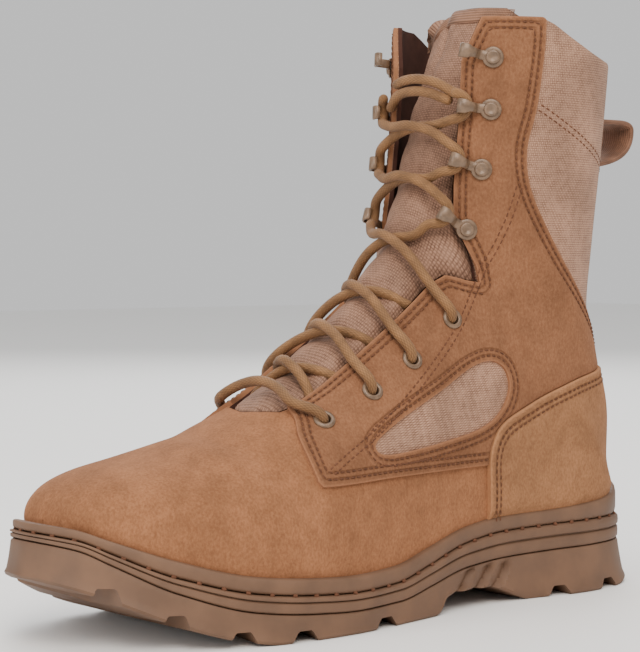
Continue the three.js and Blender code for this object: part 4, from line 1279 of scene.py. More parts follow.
def sole_ring():
    """Foot line seen from above, as (x, along), with outward ways. Both sides have as many points,
    from the heel along the lateral side to the toe and back along the medial side."""
    ats = (1 - np.cos(np.linspace(0, math.pi, 500))) / 2
    halves = []
    for side, plan in ((1, plan_lateral), (-1, plan_medial)):
        x = (plan_drift(ats) + side * plan(ats)) * BALL_WIDTH
        halves.append(np.stack([x, ats * LAST_LENGTH], 1))
    length = np.linalg.norm(np.diff(halves[0], axis=0), axis=1).sum()
    count = int(length / SOLE_STEP)
    halves = [resample(half, length / count)[:count] for half in halves]
    shares = np.linspace(0, 1, min(len(half) for half in halves))
    evened = [interpolated(shares, np.linspace(0, 1, len(half)), half) for half in halves]
    tip = [plan_drift(1.0) * BALL_WIDTH, LAST_LENGTH]
    ring = np.concatenate([evened[0], [tip], evened[1][:0:-1]])
    ring = soften(ring, 10, True)
    ways = np.roll(ring, -1, 0) - np.roll(ring, 1, 0)
    outward = unit(np.stack([ways[:, 1], -ways[:, 0]], 1))
    return ring, unit(soften(outward, 6, True))


SOLE_RING, SOLE_WAYS = sole_ring()


def sole_edge(extra):
    return lambda at: SOLE_REACH * reach(at) + extra


def sole_points(push, height):
    """One ring of the sole, pushed out from the foot line."""
    at = SOLE_RING[:, 1] / LAST_LENGTH
    places = SOLE_RING + SOLE_WAYS * np.broadcast_to(push(at), at.shape)[:, None]
    up = height(places[:, 1] / LAST_LENGTH)
    return np.stack([places[:, 0], HEEL_SPOT - places[:, 1], up], 1)


def sole_body(levels, closed=True):
    """Points and faces of rings from the bottom up, with strips across its ends."""
    rings = [sole_points(push, height) for push, height in levels]
    count = len(rings[0])
    faces = ring_faces(len(rings), count)
    if closed:
        top = (len(rings) - 1) * count
        half = count // 2
        for k in range(half):
            a, b, c, d = k, k + 1, (count - k - 1) % count, (count - k) % count
            corners = [a, d, c, b]
            unique = [corner for i, corner in enumerate(corners) if corner not in corners[:i]]
            if len(unique) > 2:
                faces.append(tuple(unique))
                faces.append(tuple(top + corner for corner in unique[::-1]))
    return np.concatenate(rings), [face[::-1] for face in faces]


def blend_heights(low, high, share):
    return lambda at: between(low(at), high(at), share)


CHANNELS = table("at sweep", [
    (0.085, 0.02), (0.195, 0.02), (0.565, 0.045), (0.712, 0.045), (0.806, 0.045), (0.898, 0.035),
    (0.978, 0.025),
])
TREAD_DEPTH = 4.5
TREAD_WIDTH = 7.0


def channel_cutter(at, sweep):
    """Chevron across the tread, wider at the floor. Its arms reach the sole's edge at 0.46 of the
    ball's width."""
    top = float(ground(at)) + TREAD_DEPTH
    arm = BALL_WIDTH
    middle = (at - sweep) * LAST_LENGTH
    turn = arm * sweep * LAST_LENGTH / (BALL_WIDTH * 0.46)
    points = []
    for height, spread in ((-6.0, 7.2), (top - 0.8, 0.2), (top, -0.7)):
        for x, along in ((-arm, middle + turn), (0, middle), (arm, middle + turn)):
            points.append((x, HEEL_SPOT - along + spread, height))
            points.append((x, HEEL_SPOT - along - TREAD_WIDTH - spread, height))
    faces = []
    for level_ in range(2):
        low, high = level_ * 6, level_ * 6 + 6
        for k in (0, 2):
            faces.append((low + k, low + k + 2, high + k + 2, high + k))
            faces.append((low + k + 3, low + k + 1, high + k + 1, high + k + 3))
        faces.append((low + 1, low, high, high + 1))
        faces.append((low + 4, low + 5, high + 5, high + 4))
    for k in (0, 2):
        faces.append((k + 1, k + 3, k + 2, k))
        faces.append((12 + k, 12 + k + 2, 12 + k + 3, 12 + k + 1))
    return np.array(points), faces


def cut_by(piece, cutters):
    """Cuts a piece with the joined cutters."""
    cutter = mesh_object("cutter", *joined(cutters))
    for body in (cutter.data, piece.data):
        work = bmesh.new()
        work.from_mesh(body)
        bmesh.ops.recalc_face_normals(work, faces=work.faces)
        work.to_mesh(body)
        work.free()
    cut = piece.modifiers.new("cut", "BOOLEAN")
    cut.object = cutter
    cut.operation = "DIFFERENCE"
    cut.solver = "MANIFOLD"
    graph = bpy.context.evaluated_depsgraph_get()
    made = bpy.data.meshes.new_from_object(piece.evaluated_get(graph))
    piece.modifiers.clear()
    old = piece.data
    piece.data = made
    bpy.data.meshes.remove(old)
    bpy.data.objects.remove(cutter)
    made.set_sharp_from_angle(angle=math.radians(40))


def build_outsole():
    def top(at):
        return midsole_bottom(at) - SOLE_GAP

    def flare(at):
        heel = 1 - smoothstep(at, 0.6 * HEEL_FLARE_END, HEEL_FLARE_END)
        return TOE_FLARE * smoothstep(at, 0.8, 1.0) + HEEL_FLARE * heel

    def wall(extra, share):
        return lambda at: sole_edge(extra)(at) + flare(at) * (1 - share)

    levels = [
        (lambda at: sole_edge(-20.0)(at), ground),
        (lambda at: sole_edge(-6.0)(at), ground),
        (lambda at: sole_edge(-1.4)(at) + flare(at), ground),
        (lambda at: sole_edge(-0.5)(at) + flare(at), lambda at: ground(at) + 0.25),
        (wall(0.0, 0), lambda at: ground(at) + 1.2),
    ]
    for share in (0.2, 0.35, 0.5, 0.65, 0.8, 0.93):
        hollow = -0.2 - 0.25 * math.sin(math.pi * share)
        levels.append((wall(hollow, share), blend_heights(ground, top, share)))
    levels += [
        (wall(-0.5, 1), lambda at: top(at) - 0.25),
        (wall(-1.2, 1), top),
        (lambda at: sole_edge(-8.0)(at), top),
    ]
    points, faces = sole_body(levels)
    piece = mesh_object("outsole_rubber", carve_arch(points), faces)
    cut_by(piece, [channel_cutter(at, sweep) for at, sweep in zip(CHANNELS["at"], CHANNELS["sweep"])])
    finish_piece(piece, plain("rubber"), ["outsole"])


# Places of the grooves under the arch, from the heel, and their depth
ARCH_GROOVES = (88.5, 99.0, 111.0)
ARCH_GROOVE_DEPTH = 3.0
ARCH_GROOVE_SWEEP = 8.0


def carve_arch(points):
    """Curved grooves on the side of the sole under the arch."""
    along, up = HEEL_SPOT - points[:, 1], points[:, 2]
    at = np.clip(along / LAST_LENGTH, 0, 1)
    low, high = ground(at), midsole_bottom(at)
    share = np.clip((up - low) / np.maximum(high - low, 1), 0, 1)
    depth = np.zeros(len(points))
    for place in ARCH_GROOVES:
        off = along - place - ARCH_GROOVE_SWEEP * (1 - share) ** 2.2
        step = np.where(off > 0, np.exp(-(off / 4.6) ** 2), np.exp(-(off / 0.7) ** 2))
        depth = np.maximum(depth, ARCH_GROOVE_DEPTH * step)
    depth *= smoothstep(1 - share, 0.04, 0.2)
    middle = plan_drift(at) * BALL_WIDTH
    way = np.sign(points[:, 0] - middle)
    points[:, 0] -= way * depth
    return points


MIDSOLE_PROFILE = table("share push", [
    (0.00, -1.2), (0.03, -0.4), (0.08, 0.0), (0.28, 0.08), (0.44, -0.05), (0.49, -0.5), (0.52, -1.25),
    (0.54, -1.25), (0.57, -0.45), (0.61, 0.1), (0.75, 0.25), (0.88, 0.1), (0.94, -0.35), (0.97, -1.1),
    (1.00, -1.7),
])
MIDSOLE_GROOVE = 0.53


def groove_share(at):
    """Where the groove runs in the midsole's height: in the middle at the heel, higher at the ball."""
    return np.interp(at, [0.0, 0.35, 0.55, 0.8, 1.0], [0.52, 0.54, 0.66, 0.66, 0.58])


def build_midsole():
    def top(at):
        return foot_line(at) - SOLE_GAP

    def height(share):
        def at_place(at):
            groove = groove_share(at)
            below = share / MIDSOLE_GROOVE * groove
            above = groove + (share - MIDSOLE_GROOVE) / (1 - MIDSOLE_GROOVE) * (1 - groove)
            return between(midsole_bottom(at), top(at), below if share <= MIDSOLE_GROOVE else above)
        return at_place

    levels = [(sole_edge(-9.0), midsole_bottom)]
    levels += [
        (sole_edge(push), height(share))
        for share, push in zip(MIDSOLE_PROFILE["share"], MIDSOLE_PROFILE["push"])
    ]
    levels.append((sole_edge(-9.0), top))
    finish_piece(mesh_object("midsole_rubber", *sole_body(levels)), plain("rubber"), ["midsole"])


WELT_PROFILE = table("rise push", [
    (0.00, -2.4), (0.02, -0.9), (0.10, -0.25), (0.22, 0.0), (0.55, 0.05), (0.78, 0.0), (0.92, -0.35),
    (0.99, -1.1), (1.02, -2.2), (1.02, -4.0), (0.99, -7.5), (0.90, -12.0),
])


def build_welt():
    levels = [(lambda at: np.full_like(at, -4.0), foot_line)]
    levels += [
        (sole_edge(push - WELT_SETBACK), blend_heights(foot_line, welt_top, rise))
        for rise, push in zip(WELT_PROFILE["rise"], WELT_PROFILE["push"])
    ]
    welt = mesh_object("welt_rubber", *sole_body(levels, closed=False))
    finish_piece(welt, plain("rubber"), ["welt"])


def build_welt_stitches():
    """Thread that shows as dots in the groove under the welt."""
    ring = sole_points(sole_edge(-1.15), lambda at: foot_line(at) - 0.15)
    ways = np.concatenate([SOLE_WAYS * [1, -1], np.zeros((len(ring), 1))], axis=1)
    dots = stitches([(ring, ways)], size_of("welt_stitch_pitch"), 1.7, share=0.2, sink=0.1)
    finish_piece(mesh_object("welt_stitches", *joined(dots), angle=60), plain("thread"))


def build_sole():
    build_outsole()
    build_midsole()
    build_welt()
    build_welt_stitches()
    insole = bpy.data.objects.get("insole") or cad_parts["insole"]
    insole.data.materials.clear()
    insole.data.materials.append(plain("lining"))


# Tongue
TONGUE_ROWS = table("rise half lean", [
    (0.560, 0.9, 0.0), (0.700, 1.2, 0.0), (0.900, 1.4, 0.0), (1.150, 1.5, 0.0), (1.400, 1.5, 0.10),
    (1.600, 1.5, 0.25), (1.800, 1.5, 0.55), (1.950, 1.58, 0.85), (2.030, 1.48, 1.00),
    (2.062, 1.20, 1.05),
])
TONGUE_LEAN = 23.0
TONGUE_THICKNESS = 4.5
TONGUE_SHIFT = 4.0
BINDING_WIDTH = 7.0
TONGUE_FACE = -1.7
TONGUE_TUCK = -5.6
TONGUE_CORNER = 13.0
LACE_PRESS = (0.704, 0.808, 0.923, 1.108, 1.355, 1.563, 1.73)


def build_tongue():
    """Padded nylon sheet between the facings, with folds where the laces press on it, and a
    binding sewn round its top."""
    half, lean = (curve_of(TONGUE_ROWS, "rise", name) for name in ("half", "lean"))
    rises = np.concatenate([np.linspace(0.56, 1.0, 46), np.linspace(1.0, 2.062, 98)[1:]])
    shares = np.linspace(-1, 1, 53)
    rows, uv = [], []
    for rise in rises:
        xs = shares * half(rise) * THROAT_GAP - TONGUE_SHIFT * smoothstep(rise, 1.6, 2.0)
        gap = np.interp(rise, THROAT["rise"], THROAT["gap"]) * THROAT_GAP
        open_share = smoothstep(np.abs(xs), gap - 5.0, gap + 1.0)
        lifts = TONGUE_FACE - (TONGUE_FACE - TONGUE_TUCK) * open_share
        lifts = lifts + tongue_folds(rise, xs)
        corner = 1 - smoothstep(shares, -1.0, -0.15)
        lower = TONGUE_CORNER * corner * smoothstep(rise, 1.75, 2.08)
        face = front_points(rise, xs, lifts)
        face[:, 1] += lean(rise) * TONGUE_LEAN * (1 - 0.3 * corner)
        face[:, 2] -= lower
        rows.append(face)
        uv.append(np.stack([xs, np.full(len(xs), level(rise))], 1))
    top = np.array(rows)
    normals = unit(np.cross(np.gradient(top, axis=1), np.gradient(top, axis=0)))
    if normals[..., 1].mean() > 0:
        normals = -normals
    back = top - normals * TONGUE_THICKNESS
    r, c = top.shape[:2]
    points = np.concatenate([top.reshape(-1, 3), back.reshape(-1, 3)])
    faces = []
    for i in range(r - 1):
        for j in range(c - 1):
            a = i * c + j
            faces.append((a, a + 1, a + c + 1, a + c))
            b = a + r * c
            faces.append((b, b + c, b + c + 1, b + 1))
    rim = [(i * c, (i + 1) * c) for i in range(r - 1)]
    rim += [((r - 1) * c + j, (r - 1) * c + j + 1) for j in range(c - 1)]
    rim += [((i + 1) * c + c - 1, i * c + c - 1) for i in range(r - 1)]
    rim += [(j + 1, j) for j in range(c - 1)]
    faces += [(a, b, b + r * c, a + r * c) for a, b in rim]
    cloth = np.concatenate([np.array(uv).reshape(-1, 2)] * 2)
    piece = mesh_object("tongue_nylon", points, faces, None, cloth, angle=50)
    finish_piece(piece, woven("woven_tongue_nylon", "tongue"), ["tongue"])
    build_tongue_binding(top, normals)


def tongue_folds(rise, xs):
    """Heights of the tongue's soft folds: troughs where the laces press, and a lengthwise crease."""
    width = 0.022 if rise < 1 else 0.045
    press = sum(math.exp(-((rise - place) / width) ** 2) for place in LACE_PRESS)
    swell = 1.4 - 2.6 * min(press, 1.0)
    crease = -2.0 * np.exp(-((xs + 9.0 + 14.0 * (rise - 1.9)) / 2.4) ** 2) * smoothstep(rise, 1.72, 1.9)
    slant = 0.5 * np.sin(rise * 30.0 + xs * 0.25)
    puff = 3.0 * math.exp(-((rise - 1.185) / 0.055) ** 2) * np.exp(-((np.abs(xs) - 23.0) / 7.0) ** 2)
    return (swell + slant) * np.exp(-(xs / 17.0) ** 2) + crease + puff


def build_tongue_binding(top, normals):
    """Webbing folded over the tongue's top edge."""
    line = top[-1]
    down = soften(unit(top[-9] - line), 12)
    out = normals[-4].copy()
    out[:5], out[-5:] = out[5], out[-6]
    out = unit(soften(out, 40))
    width, back = BINDING_WIDTH, -TONGUE_THICKNESS
    outline = [
        (width, 0.35), (width - 0.6, 0.9), (width * 0.5, 1.0), (1.2, 0.9), (-0.3, 0.2), (-0.9, back / 2),
        (-0.3, back - 0.2), (1.2, back - 0.9), (width * 0.5, back - 1.0), (width, back - 0.4),
    ]
    rows = np.array([line + down * a + out * b for a, b in outline])
    r, c = rows.shape[:2]
    faces = [
        (i * c + j, i * c + j + 1, (i + 1) * c + j + 1, (i + 1) * c + j)
        for i in range(r - 1) for j in range(c - 1)
    ]
    faces += [tuple(i * c for i in range(r)), tuple(i * c + c - 1 for i in range(r))[::-1]]
    faces.append(tuple(range(c))[::-1] + tuple((r - 1) * c + j for j in range(c)))
    x = np.tile(rows[0][:, 0], r)
    y = np.repeat([a for a, _ in outline], c)
    piece = mesh_object("tongue_binding", rows.reshape(-1, 3), faces, None, np.stack([y, x], 1))
    finish_piece(piece, plain("webbing"))


# Hardware
def turned(profile, sides=40):
    """Ring turned about Z from (radius, height) places, as points and faces."""
    turns = np.arange(sides) * 2 * math.pi / sides
    points = np.concatenate([
        np.stack([r * np.cos(turns), r * np.sin(turns), np.full(sides, z)], 1) for r, z in profile])
    return points, ring_faces(len(profile), sides)


def placed(points, axes):
    origin, ahead, across, normal = axes
    return origin + points[:, :1] * ahead + points[:, 1:2] * across + points[:, 2:] * normal


def strap(path, ways, widths, thickness, bevel=0.3):
    """Flat band along a path. ways are its across ways, and its section is a bevelled rectangle."""
    path = np.asarray(path, float)
    ways = np.broadcast_to(np.asarray(ways, float), path.shape)
    outs = unit(np.cross(unit(np.gradient(path, axis=0)), ways))
    t = thickness / 2
    points, uv = [], []
    widths = np.broadcast_to(widths, len(path))
    for place, way, out, width, far in zip(path, ways, outs, widths, run_along(path)):
        w = width / 2
        section = [(w, t - bevel), (w - bevel, t), (bevel - w, t), (-w, t - bevel),
                   (-w, bevel - t), (bevel - w, -t), (w - bevel, -t), (w, bevel - t)]
        for a, b in section:
            points.append(place + way * a + out * b)
            uv.append((a, far))
    return np.array(points), ring_faces(len(path), 8) + end_faces(len(path), 8), np.array(uv)


# A hook's bent tongue from its rivet, as (ahead, height off the leather), with its widths
HOOK_PATH = [
    (0, 0.6), (4.8, 0.6), (6.0, 1.1), (7.0, 2.9), (7.9, 4.6), (9.2, 5.6), (11.0, 5.9), (12.8, 5.8),
    (13.8, 5.1), (14.1, 4.0), (13.7, 3.0),
]
HOOK_THICKNESS = 1.1
HOOK_WIDTHS = [4.2, 4.2, 4.0, 4.0, 4.0, 4.4, 6.0, 6.2, 6.2, 6.0, 5.6]
EYELET_PROFILE = [
    (2.5, -1.9), (2.5, 2.35), (2.58, 2.75), (2.9, 3.0), (3.4, 3.08), (3.9, 2.98), (4.3, 2.7), (4.5, 2.3),
    (4.5, 1.95),
]
PLATE_PROFILE = [
    (4.5, 0.0), (4.6, 0.35), (4.5, 0.75), (4.2, 0.95), (3.6, 1.0), (3.15, 1.05), (3.1, 1.3), (2.95, 1.7),
    (2.5, 1.95), (1.9, 1.95), (1.4, 1.7), (0.7, 1.5), (0.02, 1.45),
]


def build_hardware():
    ring = turned(EYELET_PROFILE)
    plate = turned(PLATE_PROFILE)
    path = curve_through(HOOK_PATH, 4)
    shares = np.linspace(0, 1, len(path))
    widths = np.interp(shares, np.linspace(0, 1, len(HOOK_WIDTHS)), HOOK_WIDTHS)
    line = np.stack([path[:, 0], np.zeros(len(path)), path[:, 1]], 1)
    body = strap(line, (0, 1, 0), widths, HOOK_THICKNESS)
    for side, name in ((1, "lateral"), (-1, "medial")):
        for kind, shapes, places, angle in (
            ("eyelet", [ring], EYELETS[side], 40), ("hook", [plate, body], HOOKS[side], 50),
        ):
            made = [(placed(shape[0], axes), shape[1]) for axes in places for shape in shapes]
            piece = mesh_object(f"{kind}s_{name}", *joined(made), angle=angle)
            nodes = [f"{kind}_{name}_{k}" for k in (1, 2, 3, 4)]
            finish_piece(piece, plain("paint"), nodes)


# Lace. Crossings are the heights where a strand starts and ends; routes hold (height, share of the
# throat's gap, lift off the last).
LACE_STEP = 0.9
INNER_CROSSING = (0.668, 0.740)
EYELET_CROSSINGS = ((0.770, 0.845), (0.880, 0.965))
UPPER_CROSSING = (1.020, 1.195)
HOOK_CROSSINGS = ((1.310, 1.400), (1.515, 1.610))
END_ROUTES = {
    "lace_end_lateral": [
        (1.715, 0.90, 2.7), (1.744, 0.50, 3.0), (1.756, 0.05, 3.0), (1.756, -0.35, 2.9), (1.752, -0.62, 2.8)],
    "lace_end_medial": [
        (1.680, -0.90, 2.7), (1.705, -0.55, 2.8), (1.708, 0.0, 2.8), (1.700, 0.40, 2.8), (1.690, 0.62, 2.8),
        (1.684, 0.78, 2.5)],
}
BAR_ROUTE = [(0.624, 1.0, 5.2), (0.634, 0.6, 5.6), (0.640, 0.0, 5.8)]


def crossing_points(side, low, high, start, end, over):
    """Strand over the tongue from one side to the other: it starts and ends at (x, lift), and in
    the middle it lies on the tongue or over the other strand."""
    middle = 4.5 if over else 0.6
    points = []
    for share, x, lift in (
        (0.0, start[0], start[1]), (0.26, 0.55, between(start[1], middle, 0.6)), (0.5, 0.0, middle),
        (0.74, -0.55, between(end[1], middle, 0.6)), (1.0, -end[0], end[1]),
    ):
        points.append(front_point(between(low, high, share), side * x * THROAT_GAP, lift))
    return points


def through_eyelet(side, number, outward, towards):
    """Points through an eyelet. towards is where the lace goes on outside."""
    point, _, _, normal = EYELETS[side][number]
    way = towards - point
    way = unit(way - normal * (way @ normal))
    course = [point - normal * 4.6 + way * 3.0, point - normal * 2.6, point + normal * 1.5 + way * 0.1,
              point + normal * 3.6 + way * 0.8, point + normal * 4.9 + way * 3.6]
    return course if outward else course[::-1]


def round_hook(side, number):
    """Points round a hook's neck, from below to above."""
    axes = HOOKS[side][number]
    course = [(15.5, -5.6, 1.2), (12.6, -5.0, 1.9), (10.4, -3.0, 2.0), (9.5, 0.0, 2.0), (10.4, 3.0, 2.0),
              (12.6, 5.0, 1.9), (15.5, 5.6, 1.2)]
    points = np.array([(x, -side * y, z) for x, y, z in course])
    return list(placed(points, axes))


def strand_route(side):
    """One end of the lace from the middle of the bar to the third hook."""
    bar = [front_point(rise, side * x * THROAT_GAP, lift) for rise, x, lift in BAR_ROUTE[::-1]]
    route = bar + through_eyelet(side, 0, False, bar[-1])
    over = side > 0
    hidden = (1.02, -3.4)
    route += crossing_points(side, *INNER_CROSSING, hidden, hidden, over)
    start = -side
    for number, (low, high) in enumerate(EYELET_CROSSINGS):
        outside = front_point(low, start * 1.22 * THROAT_GAP, 4.6)
        route += through_eyelet(start, number + 1, True, outside)
        over = not over
        route += crossing_points(start, low, high, (1.10, 4.3), (1.02, -3.4), over)
        start = -start
    low, high = UPPER_CROSSING
    outside = front_point(low, start * 1.28 * THROAT_GAP, 4.9)
    route += through_eyelet(start, 3, True, outside)
    over = not over
    route += crossing_points(start, low, high, (1.16, 4.6), (0.98, 3.6), over)[:-1]
    start = -start
    route += round_hook(start, 0)
    for number, (low, high) in enumerate(HOOK_CROSSINGS):
        over = not over
        step = (high - low) * 0.2
        route += crossing_points(start, low + step, high - step, (0.62, 3.4), (0.62, 3.4), over)[1:-1]
        start = -start
        route += round_hook(start, number + 1)
    return np.array(route)


def build_lace():
    routes = [strand_route(1), strand_route(-1)]
    whole = np.concatenate([routes[0][::-1], routes[1][1:]])
    path = soften(resample(curve_through(whole, 10), LACE_STEP), 12)
    radius = size_of("lace_diameter") / 2
    points, faces, uv = tube(path, radius)
    piece = mesh_object("lace", points, faces, None, uv, angle=80)
    nodes = [f"lace_cross_{k}" for k in range(1, 7)] + ["lace_bar"]
    finish_piece(piece, plain("lace"), nodes)
    for name, route in END_ROUTES.items():
        spots = np.array([front_point(rise, x * THROAT_GAP, lift) for rise, x, lift in route])
        line = resample(curve_through(spots, 10), LACE_STEP)
        points, faces, uv = tube(line, radius)
        end = mesh_object(name + "_cord", points, faces, None, uv, angle=80)
        finish_piece(end, plain("lace"), [name])


# Pull loop
LOOP_TOP = 1.635
LOOP_BOTTOM = 1.42
LOOP_WIDTH = 21.0
LOOP_BAND = 1.8
LOOP_DEPTH = 31.0
LOOP_SAG = 2.0
LOOP_STANDOFF = 0.6


def bezier(points, steps=14):
    """Curve from control points, by repeated halving between them."""
    found = []
    for t in np.linspace(0, 1, steps):
        level_points = np.asarray(points, float)
        while len(level_points) > 1:
            level_points = level_points[:-1] * (1 - t) + level_points[1:] * t
        found.append(level_points[0])
    return np.array(found)


def build_pull_loop():
    """Webbing bent into a D behind the leg, as the solid is."""
    behind = LEG_SECTIONS["back_rise"] > 0
    back = smooth(LEG_SECTIONS["back_rise"][behind], LEG_SECTIONS["back"][behind])
    inset = LOOP_BAND / 2
    (top_x, top_up), (low_x, low_up) = (
        (back(rise) * LAST_LENGTH - LOOP_STANDOFF, float(level(rise))) for rise in (LOOP_TOP, LOOP_BOTTOM))
    far = low_x - LOOP_DEPTH + inset
    lower_run = bezier([
        (low_x - inset, low_up + inset), (low_x - 0.7 * LOOP_DEPTH, low_up + inset + LOOP_SAG),
        (far, between(low_up, top_up, 0.35)), (far, between(low_up, top_up, 0.8)),
    ])
    upper_run = bezier([
        (far, between(low_up, top_up, 0.8)), (far, top_up - inset),
        (top_x - 0.6 * LOOP_DEPTH, top_up - inset),
    ])
    first, last = [(low_x + 1.0, low_up + inset)], [(top_x + 1.0, top_up - inset)]
    line = resample(np.concatenate([first, lower_run, upper_run[1:], last]), 0.8)
    path = np.stack([np.zeros(len(line)), HEEL_SPOT - line[:, 0], line[:, 1]], 1)
    points, faces, uv = strap(path, (1, 0, 0), LOOP_WIDTH, LOOP_BAND, 0.5)
    piece = mesh_object("pull_loop_webbing", points, faces, None, uv, angle=50)
    finish_piece(piece, plain("webbing"), ["pull_loop"])


# Stage
CAMERA_TARGET = (-0.135, -115.469, 118.695)
CAMERA_AZIMUTH = 50.22
CAMERA_ELEVATION = 2.006
CAMERA_DISTANCE = 849.97
CAMERA_LENS = 112.23
FLOOR_SIZE = 8.0
# Name, place in metres, watts, size in metres and colour
LIGHTS = (
    ("key", (1.3, -0.9, 1.5), 34, 1.1, "#fff6ec"),
    ("front", (0.1, -1.9, 0.9), 16, 1.2, "#ffffff"),
    ("back", (-1.2, 0.9, 1.2), 16, 1.2, "#ffffff"),
    ("top", (0.1, -0.1, 1.9), 14, 1.4, "#ffffff"),
)


def build_stage():
    scene = bpy.context.scene
    az, el = math.radians(CAMERA_AZIMUTH), math.radians(CAMERA_ELEVATION)
    away = Vector((math.sin(az) * math.cos(el), -math.cos(az) * math.cos(el), math.sin(el)))
    target = Vector(CAMERA_TARGET) * MM
    data = bpy.data.cameras.new("camera")
    data.lens = CAMERA_LENS
    data.sensor_width = 36.0
    data.clip_start = 0.05
    camera = bpy.data.objects.new("camera", data)
    camera.location = target + away * (CAMERA_DISTANCE * MM)
    camera.rotation_euler = (-away).to_track_quat("-Z", "Y").to_euler()
    scene.collection.objects.link(camera)
    scene.camera = camera
    mesh = bpy.data.meshes.new("floor")
    half = FLOOR_SIZE / 2
    corners = [(-half, -half, 0), (half, -half, 0), (half, half, 0), (-half, half, 0)]
    mesh.from_pydata(corners, [], [(0, 1, 2, 3)])
    floor = bpy.data.objects.new("floor", mesh)
    scene.collection.objects.link(floor)
    material, _, _ = new_material("pale_floor", Roughness=0.7, Base_Color=linear("#f4f3f1"))
    mesh.materials.append(material)
    for name, place, power, spread, colour in LIGHTS:
        light = bpy.data.lights.new(name, "AREA")
        light.energy = power
        light.size = spread
        light.color = linear(colour)[:3]
        lamp = bpy.data.objects.new(name, light)
        lamp.location = place
        lamp.rotation_euler = (target - Vector(place)).to_track_quat("-Z", "Y").to_euler()
        scene.collection.objects.link(lamp)
    world = bpy.data.worlds.new("studio")
    world.use_nodes = True
    scene.world = world
    background = next(item for item in world.node_tree.nodes if item.type == "BACKGROUND")
    background.inputs["Color"].default_value = (1, 1, 1, 1)
    background.inputs["Strength"].default_value = 0.75


SMALLEST = 0.0002


def length_property(label, description, millimetres):
    return bpy.props.FloatProperty(
        name=label, description=description, default=millimetres * MM, min=SMALLEST, unit="LENGTH",
        precision=5)


def colour_property(label, description, hex_colour):
    return bpy.props.FloatVectorProperty(
        name=label, description=description, default=linear(hex_colour)[:3], subtype="COLOR", size=3,
        min=0, max=1)


class BootSizes(bpy.types.PropertyGroup):
    """Sizes of the sewn and woven details."""
    stitch_pitch: length_property("Stitch pitch", "From one stitch of the upper to the next", 3.0)
    thread_width: length_property("Thread width", "Thickness of the upper's thread", 0.62)
    welt_stitch_pitch: length_property(
        "Welt stitch pitch", "From one dot in the welt's groove to the next", 10.0)
    weave_pitch: length_property("Weave pitch", "Distance between the nylon's drawn yarns", 1.0)
    lace_diameter: length_property("Lace diameter", "Thickness of the round lace", 4.4)


class BootColours(bpy.types.PropertyGroup):
    """Middle colour of each material."""
    vamp: colour_property("Vamp", "Suede over the toes and the sides", "#946546")
    quarters: colour_property("Quarters", "Suede of the lace facings and side panels", "#835a40")
    counter: colour_property("Counter", "Suede round the heel", "#966b4b")
    nylon: colour_property("Nylon", "Woven shaft and side windows", "#af876e")
    tongue: colour_property("Tongue", "Woven face of the tongue", "#95705a")
    rubber: colour_property("Rubber", "Outsole, midsole and welt", "#674c39")
    paint: colour_property("Paint", "Paint of the hooks and eyelets", "#6e5743")
    lace: colour_property("Lace", "Braided lace", "#835e3b")
    thread: colour_property("Thread", "Stitches of the upper and dots of the welt", "#5c3a28")
    lining: colour_property("Lining", "Brushed lining inside the shaft", "#412820")
    webbing: colour_property("Webbing", "Pull loop and the tongue's binding", "#85604a")


class BOOT_OT_stage(bpy.types.Operator):
    """Add the pale floor, the studio lights and the camera"""
    bl_idname = "boot.stage"
    bl_label = "Stage"

    def execute(self, context):
        build_stage()
        return {"FINISHED"}


class BOOT_OT_upper(bpy.types.Operator):
    """Build the vamp, the nylon shaft, the quarters, the heel counter and the lining"""
    bl_idname = "boot.upper"
    bl_label = "Upper"

    def execute(self, context):
        build_upper()
        return {"FINISHED"}


class BOOT_OT_upper_stitches(bpy.types.Operator):
    """Sew the stitch rows along the upper's edges and seams"""
    bl_idname = "boot.upper_stitches"
    bl_label = "Upper stitches"

    def execute(self, context):
        build_upper_stitches()
        return {"FINISHED"}


class BOOT_OT_sole(bpy.types.Operator):
    """Build the outsole with its tread, the midsole, the welt with its stitches and the insole's face"""
    bl_idname = "boot.sole"
    bl_label = "Sole"

    def execute(self, context):
        build_sole()
        return {"FINISHED"}


class BOOT_OT_tongue(bpy.types.Operator):
    """Build the padded tongue and its binding"""
    bl_idname = "boot.tongue"
    bl_label = "Tongue"

    def execute(self, context):
        build_tongue()
        return {"FINISHED"}


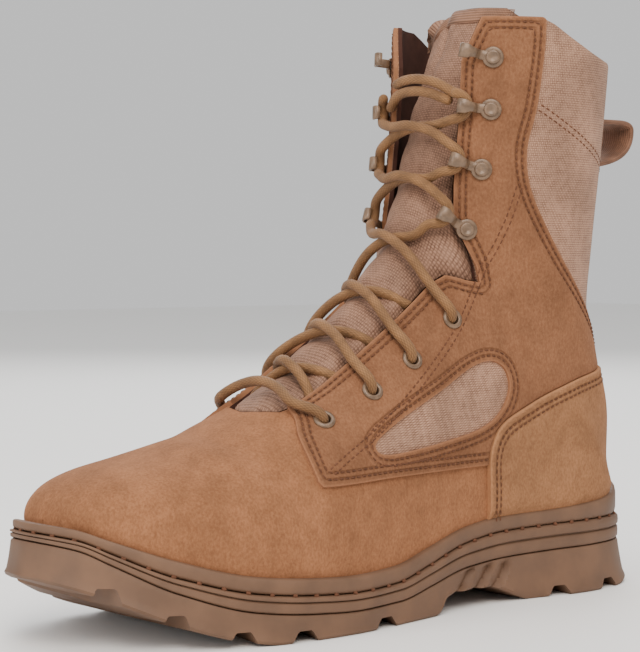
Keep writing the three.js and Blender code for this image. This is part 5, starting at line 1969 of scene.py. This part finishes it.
class BOOT_OT_hardware(bpy.types.Operator):
    """Build the eyelets and hooks of both sides"""
    bl_idname = "boot.hardware"
    bl_label = "Eyelets and hooks"

    def execute(self, context):
        build_hardware()
        return {"FINISHED"}


class BOOT_OT_lace(bpy.types.Operator):
    """Run the lace through the eyelets and round the hooks, with its two ends"""
    bl_idname = "boot.lace"
    bl_label = "Lace"

    def execute(self, context):
        build_lace()
        return {"FINISHED"}


class BOOT_OT_pull_loop(bpy.types.Operator):
    """Build the webbing loop at the back"""
    bl_idname = "boot.pull_loop"
    bl_label = "Pull loop"

    def execute(self, context):
        build_pull_loop()
        return {"FINISHED"}


OPERATORS = (
    BOOT_OT_stage, BOOT_OT_lace, BOOT_OT_upper, BOOT_OT_upper_stitches, BOOT_OT_sole, BOOT_OT_tongue,
    BOOT_OT_hardware, BOOT_OT_pull_loop,
)


class BOOT_PT_sidebar(bpy.types.Panel):
    """Lists the boot's pieces with their sizes and colours"""
    bl_idname = "BOOT_PT_sidebar"
    bl_label = "Combat boot"
    bl_space_type = "VIEW_3D"
    bl_region_type = "UI"
    bl_category = "Boot"

    def draw(self, context):
        for operator in OPERATORS:
            self.layout.operator(operator.bl_idname)
        for group in (context.scene.boot_sizes, context.scene.boot_colours):
            column = self.layout.column()
            for name in group.__annotations__:
                column.prop(group, name)


CLASSES = (BootSizes, BootColours, *OPERATORS, BOOT_PT_sidebar)


def register():
    for kind in CLASSES:
        bpy.utils.register_class(kind)
    bpy.types.Scene.boot_sizes = bpy.props.PointerProperty(type=BootSizes)
    bpy.types.Scene.boot_colours = bpy.props.PointerProperty(type=BootColours)


def unregister():
    del bpy.types.Scene.boot_colours
    del bpy.types.Scene.boot_sizes
    for kind in reversed(CLASSES):
        bpy.utils.unregister_class(kind)


def main():
    register()
    bpy.ops.boot.stage()
    bpy.ops.boot.lace()
    bpy.ops.boot.upper()
    bpy.ops.boot.upper_stitches()
    bpy.ops.boot.sole()
    bpy.ops.boot.tongue()
    bpy.ops.boot.hardware()
    bpy.ops.boot.pull_loop()


if __name__ == "__main__":
    main()
